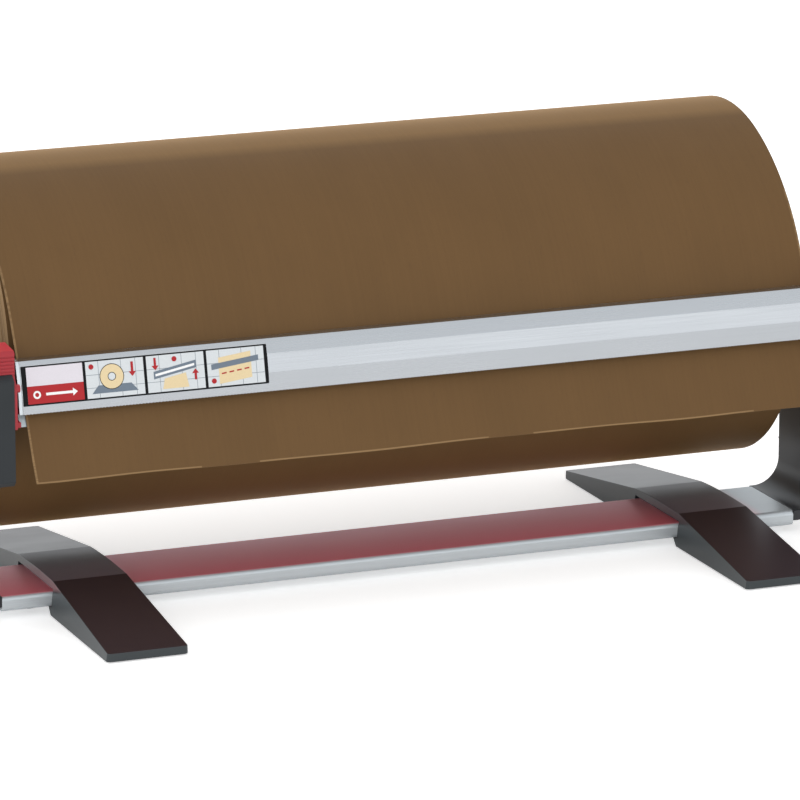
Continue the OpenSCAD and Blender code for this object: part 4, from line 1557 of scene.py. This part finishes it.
@dataclass
class Roll:
    """The wound roll on its core, and the axle with its plugs and bushes.

    Attributes:
        radius: The radius of the wound paper.
        core_r: The radius of its bore.
        half: Half of its length.
        rings: How many rings its ends show.
        uneven: The least and greatest depth of a ring below the end.
        last_depth: The depth of the innermost ring.
        turns: How many flats it has round the axle.
        seed: The seed of the rings' depths.
    """

    radius: float = 109.3
    core_r: float = 30.0
    half: float = 250.0
    rings: int = 26
    uneven: Point = (0.05, 0.5)
    last_depth: float = 0.1
    turns: int = 144
    seed: int = 7

    def profile(self) -> list[Point]:
        """Half of the roll's section, its ends slightly uneven from ring to ring.

        Returns:
            Points (x, radius), inwards along the right end and outwards along the left one.
        """
        dice = random.Random(self.seed)
        step = (self.radius - self.core_r) / self.rings
        ends = []
        for side in (-1, 1):
            depths = [round(dice.uniform(*self.uneven), 2) for _ in range(self.rings - 2)]
            ends.append([(self.half - depth) * side for depth in [0.0, *depths, self.last_depth]])
        left, right = ends
        points: list[Point] = []
        for i, x in enumerate(right):
            outer = self.radius - i * step
            points += [(x, outer), (x, outer - step)]
        for i, x in reversed(list(enumerate(left))):
            outer = self.radius - i * step
            points += [(x, outer - step), (x, outer)]
        return points

    def wound(self) -> None:
        """Builds the wound paper by spinning its section about the axle."""
        centre = spot(0, *AXLE)
        points = self.profile()
        let_go()
        bpy.ops.mesh.primitive_circle_add(vertices=len(points), fill_type="NOTHING")
        roll = added("wound_paper")
        for vertex, (x, r) in zip(roll.data.vertices, points):
            vertex.co = centre + Vector((x, 0.0, r)) * MM
        with editing(roll):
            bpy.ops.mesh.spin(steps=self.turns, angle=math.tau, center=centre, axis=(1, 0, 0))
        facing_out(roll)
        roll.data.materials.append(KRAFT_FACE.material())
        roll.data.materials.append(KRAFT_EDGE.material())
        for face in roll.data.polygons:
            face.material_index = int(abs(face.center.x) > (self.half - 1.0) * MM)
        smoothed(roll, 20.0)
        dress(roll, KRAFT_EDGE, "roll", "kraft_paper", "paper_roll")

    def spindle(self) -> None:
        """Builds the core, the axle, the plugs with their thumb screws, and the bushes."""
        dress(from_node("core_tube", "board_core", 0.3), BOARD_EDGE, "roll", "cardboard", "core_tube")
        dress(from_node("axle", "steel_axle", 0.15), ZINC, "roll", "steel", "axle")
        for side in ("left", "right"):
            plug = from_node(f"{side}_core_plug", f"{side}_plug", 0.5, 3)
            dress(plug, BLACK_NYLON, "roll", "black_plastic", f"{side}_core_plug")
            bush = from_node(f"{side}_axle_bush", f"{side}_bush", 0.3)
            dress(bush, BLACK_NYLON, "carrier", "black_plastic", f"{side}_axle_bush")
        dress(from_node("plug_screws", "thumb_screws", 0.35), BLACK_NYLON, "roll", "black_plastic", "plug_screws")

    def build(self) -> None:
        """Builds the roll."""
        self.wound()
        self.spindle()


@dataclass
class Sheet:
    """The outermost sheet: round the roll, off it in a loose curve, and straight down through the cutter.

    Attributes:
        wrap_r: The radius of its middle on the roll.
        lift: The angle at which it leaves the roll, in degrees up from the front.
        tuck: The angle at which it goes in under the next layer.
        loose_centre: The centre of the loose curve.
        loose_r: The radius of the loose curve.
        lean: The angle at which the loose curve ends and the straight part begins.
        end_z: The height of the free edge.
        flap_y: The part in front of this hangs below the cutter.
        loose_y: The part in front of this has left the roll.
        half: Half of its width.
        rim: The width of the pale fibres along its sides.
        thick: Its thickness, drawn thicker than paper so that its edge shows.
        across: How many faces it has across.
        flap_steps: How many stretches the straight part has.
        loose_steps: How many the loose curve has.
        wrap_steps: How many the part on the roll has.
        flat: Its flat size in metres. Not used.
    """

    wrap_r: float = 109.9
    lift: float = 65.0
    tuck: float = 370.0
    loose_centre: Point = (78.30, 119.86)
    loose_r: float = 136.64
    lean: float = 27.0
    end_z: float = 96.4
    flap_y: float = -60.0
    loose_y: float = -22.0
    half: float = 250.0
    # rim: The width of the paler band along its sides: the cut fibres' own tone, widened by a painted highlight where
    # a turned edge catches light.
    rim: float = 1.2
    thick: float = 0.5
    across: int = 70
    flap_steps: int = 26
    loose_steps: int = 18
    wrap_steps: int = 140
    flat: Point = (0.5, 0.772)

    def path(self) -> list[tuple[Vector, Vector, float]]:
        """The sheet from the side.

        Returns:
            Points from the free edge on, each with the way out of the sheet and how far it may ripple.
        """

        def out(angle: float) -> Vector:
            """The way out of a curve at an angle up from the front."""
            turn = math.radians(angle)
            return Vector((-math.cos(turn), math.sin(turn)))

        lean_out = out(self.lean)
        loose_end = Vector(self.loose_centre) + self.loose_r * lean_out
        down = Vector((-lean_out.y, lean_out.x))
        run = (loose_end.y - self.end_z) / -down.y
        steps = []
        for i in range(self.flap_steps + 1):
            # The first stretch is short, for the paler band at the torn edge: the fibres' own tone and a painted
            # highlight.
            along = run * (1 - (i - 1) / self.flap_steps) if i > 1 else run - 0.9 * i
            point = loose_end + down * along
            # The cutter holds the sheet flat between heights of 128 and 170 mm.
            below, above = max(0.0, (128.0 - point.y) / 32.0), max(0.0, (point.y - 170.0) / 12.0)
            steps.append((point, lean_out, 0.9 * below + 0.5 * above))
        for i in range(self.loose_steps):
            angle = self.lean + (self.lift - self.lean) * i / self.loose_steps
            slack = math.sin(math.pi * min(1.0, (i + 4) / (self.loose_steps + 4)))
            steps.append((Vector(self.loose_centre) + self.loose_r * out(angle), out(angle), slack))
        for i in range(self.wrap_steps + 1):
            angle = self.lift + (self.tuck - self.lift) * i / self.wrap_steps
            steps.append((Vector(AXLE) + self.wrap_r * out(angle), out(angle), 0.0))
        return steps

    def ragged(self, x: float) -> float:
        """How far the free edge strays from a straight line, in millimetres."""
        return 0.35 * math.sin(x / 41.0) + 0.25 * math.sin(x / 15.0 + 1.0)

    def ripple(self, x: float, height: float) -> float:
        """The ripple where the sheet hangs loose, in millimetres: a long wave, and a short one that leans."""
        return 0.55 * math.sin(x / 31.0 + 0.4) + 0.3 * math.sin(x / 13.5 + height / 21.0)

    def curl(self, x: float, height: float) -> float:
        """How far the free edge lifts in its last 45 mm at the left, in millimetres, with short wrinkles."""
        near = max(0.0, (-x - 205.0) / 45.0)
        return 1.6 * near**2 + 0.5 * near * math.sin(x / 5.5 + height / 9.0)

    def pale_fibres_or_painted_highlight(self, face: bpy.types.MeshPolygon) -> bool:
        """Tells whether a face lies in the paler band at a cut edge of the part that hangs off the roll, partly a
        painted highlight.

        Args:
            face: The face.

        Returns:
            True if it does.
        """
        x, y, z = face.center / MM
        at_end = y - BASE_Y < self.flap_y and z < self.end_z + self.ragged(x) + 0.7
        return at_end or (abs(x) > self.half - self.rim and y - BASE_Y < self.loose_y)

    def place(self, across: float, step: tuple[Vector, Vector, float]) -> Vector:
        """The spot of one of the sheet's points.

        Args:
            across: Its distance from the middle of the sheet, in millimetres.
            step: Its step on the path.

        Returns:
            The spot in metres.
        """
        point, out, looseness = step
        free = max(0.0, (112.0 - point.y) / 16.0) if point.x < self.flap_y else 0.0
        moved = point + out * (looseness * self.ripple(across, point.y) + free * self.curl(across, point.y))
        return spot(across, moved.x, moved.y + free**3 * self.ragged(across))

    def build(self) -> None:
        """Builds the sheet from a grid laid along the path, rippled where it hangs free."""
        path = self.path()
        let_go()
        bpy.ops.mesh.primitive_grid_add(x_subdivisions=self.across, y_subdivisions=len(path) - 1, size=1.0)
        sheet = added("kraft_sheet")
        for vertex in sheet.data.vertices:
            column = round((vertex.co.x + 0.5) * self.across)
            x = (column / self.across - 0.5) * 2 * self.half
            if column in (1, self.across - 1):
                x = math.copysign(self.half - self.rim, x)
            vertex.co = self.place(x, path[round((vertex.co.y + 0.5) * (len(path) - 1))])
        sheet.data.materials.append(KRAFT_FACE.material())
        sheet.data.materials.append(KRAFT_EDGE.material())
        modified(sheet, "SOLIDIFY", thickness=self.thick * MM, offset=0.0, use_even_offset=True, material_offset_rim=1)
        with editing(sheet):
            bpy.ops.mesh.normals_make_consistent(inside=False)
        # The faces along the cut edges are paler: partly the cut fibres' own tone, partly a painted highlight where a
        # turned edge catches light.
        for face in sheet.data.polygons:
            if self.pale_fibres_or_painted_highlight(face):
                face.material_index = 1
        smoothed(sheet, 35.0)
        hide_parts("paper_web")
        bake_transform(sheet)
        log.info("%s: %s, %d faces", sheet.name, KRAFT_FACE.name, len(sheet.data.polygons))


# ---------------------------------------------------------------- the studio


@dataclass(frozen=True)
class SoftBox:
    """A rectangular lamp.

    Attributes:
        name: Its name.
        place: Its place in metres.
        aim: The point that it faces, in metres.
        size: Its width and height in metres.
        power: Its power in watts.
    """

    name: str
    place: Sequence[float]
    aim: Sequence[float]
    size: Point
    power: float

    def hang(self) -> None:
        """Adds the lamp."""
        let_go()
        way = Vector(self.aim) - Vector(self.place)
        turn = way.to_track_quat("-Z", "Y").to_euler()
        bpy.ops.object.light_add(type="AREA", location=self.place, rotation=turn)
        lamp = bpy.context.object
        lamp.name = self.name
        lamp.data.shape = "RECTANGLE"
        lamp.data.size, lamp.data.size_y = self.size
        lamp.data.energy = self.power


@dataclass
class Studio:
    """The camera at the photograph's angle, a pale floor, and plain soft light.

    Attributes:
        eye: The camera's place in millimetres.
        aim: The point that it looks at.
        lens: Its focal length in millimetres, on a film 36 mm wide.
        floor_size: The floor's width in metres.
        floor_seen: How much light the floor adds of its own where the camera sees it, so that it is white.
        floor_mirrored: How much it adds where a piece mirrors it.
        fill: The sky's strength as a fill light, a little under the white that is seen.
        boxes: The lamps.
    """

    eye: tuple[float, float, float] = (-1238.5, -3128.3, 964.6)
    aim: tuple[float, float, float] = (7.48, 0.0, 101.04)
    lens: float = 261.37
    floor_size: float = 40.0
    floor_seen: float = 0.5
    floor_mirrored: float = 0.22
    fill: float = 0.92
    boxes: Sequence[SoftBox] = (
        SoftBox("fill", (-1.7, -2.5, 1.2), (0.0, 0.0, 0.1), (2.0, 2.0), 20.0),
        SoftBox("strip", (1.2, -3.0, 0.78), (0.0, 0.0, 0.15), (2.6, 0.55), 3.2),
        SoftBox("back", (-1.5, 2.6, 0.9), (0.0, 0.0, 0.2), (1.2, 1.2), 14.0),
    )

    def camera(self) -> None:
        """Sets the camera, fitted to the corners and edges that the photograph shows."""
        eye, aim = spot(*self.eye), spot(*self.aim)
        let_go()
        bpy.ops.object.camera_add(location=eye, rotation=(aim - eye).to_track_quat("-Z", "Y").to_euler())
        camera = bpy.context.object
        camera.name = "camera"
        camera.data.lens = self.lens
        camera.data.sensor_width = 36.0
        camera.data.clip_end = 60.0
        bpy.context.scene.camera = camera

    def floor(self) -> None:
        """Lays the floor. To the camera it is white, and it keeps the soft shadow of the object."""
        let_go()
        bpy.ops.mesh.primitive_plane_add(size=self.floor_size, location=(0, 0, 0))
        floor = added("floor")
        paper = bpy.data.materials.new("white studio paper")
        paper.use_nodes = True
        tree = paper.node_tree
        ray = node(tree, "ShaderNodeLightPath").outputs
        faint = node(tree, "ShaderNodeMath", TIMES, i0=ray["Is Glossy Ray"], i1=self.floor_mirrored).outputs[0]
        both = {"operation": "MULTIPLY_ADD"}
        glow = node(tree, "ShaderNodeMath", both, i0=ray["Is Camera Ray"], i1=self.floor_seen, i2=faint).outputs[0]
        shader = tree.nodes["Principled BSDF"]
        wire(tree, shader, Base_Color=linear("#FAFAFA"), Roughness=0.9, Specular_IOR_Level=0.0)
        wire(tree, shader, Emission_Color=WHITE, Emission_Strength=glow)
        floor.data.materials.append(paper)

    def world(self) -> None:
        """Makes the sky white to the camera and in reflections, and a plain fill light elsewhere."""
        world = bpy.data.worlds.new("studio")
        bpy.context.scene.world = world
        world.use_nodes = True
        tree = world.node_tree
        tree.nodes.clear()
        ray = node(tree, "ShaderNodeLightPath").outputs
        either = {"operation": "MAXIMUM"}
        seen = node(tree, "ShaderNodeMath", either, i0=ray["Is Camera Ray"], i1=ray["Is Glossy Ray"]).outputs[0]
        seen = node(tree, "ShaderNodeMath", either, i0=seen, i1=ray["Is Transmission Ray"]).outputs[0]
        level = node(tree, "ShaderNodeMapRange", Value=seen, To_Min=self.fill, To_Max=1.0).outputs[0]
        # A faint blue in reflections, as of a window, cools the metal and the black plastic.
        cool = (0.92, 0.965, 1.0, 1.0)
        sky = node(tree, "ShaderNodeMix", COLOURS, i0=ray["Is Glossy Ray"], i6=WHITE, i7=cool).outputs[2]
        light = node(tree, "ShaderNodeBackground", Color=sky, Strength=level)
        node(tree, "ShaderNodeOutputWorld", Surface=light.outputs[0])

    def build(self) -> None:
        """Sets up the studio."""
        bpy.context.scene.view_settings.view_transform = "Standard"
        self.camera()
        self.floor()
        self.world()
        for box in self.boxes:
            box.hang()


def main() -> None:
    """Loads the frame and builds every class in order."""
    logging.basicConfig(level=logging.INFO, format="%(name)s %(message)s")
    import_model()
    for part in (Studio(), Stand(), Screws(), Cutter(), Ends(), Roll(), Sheet()):
        log.info("building %s", type(part).__name__)
        part.build()


if __name__ == "__main__":
    main()
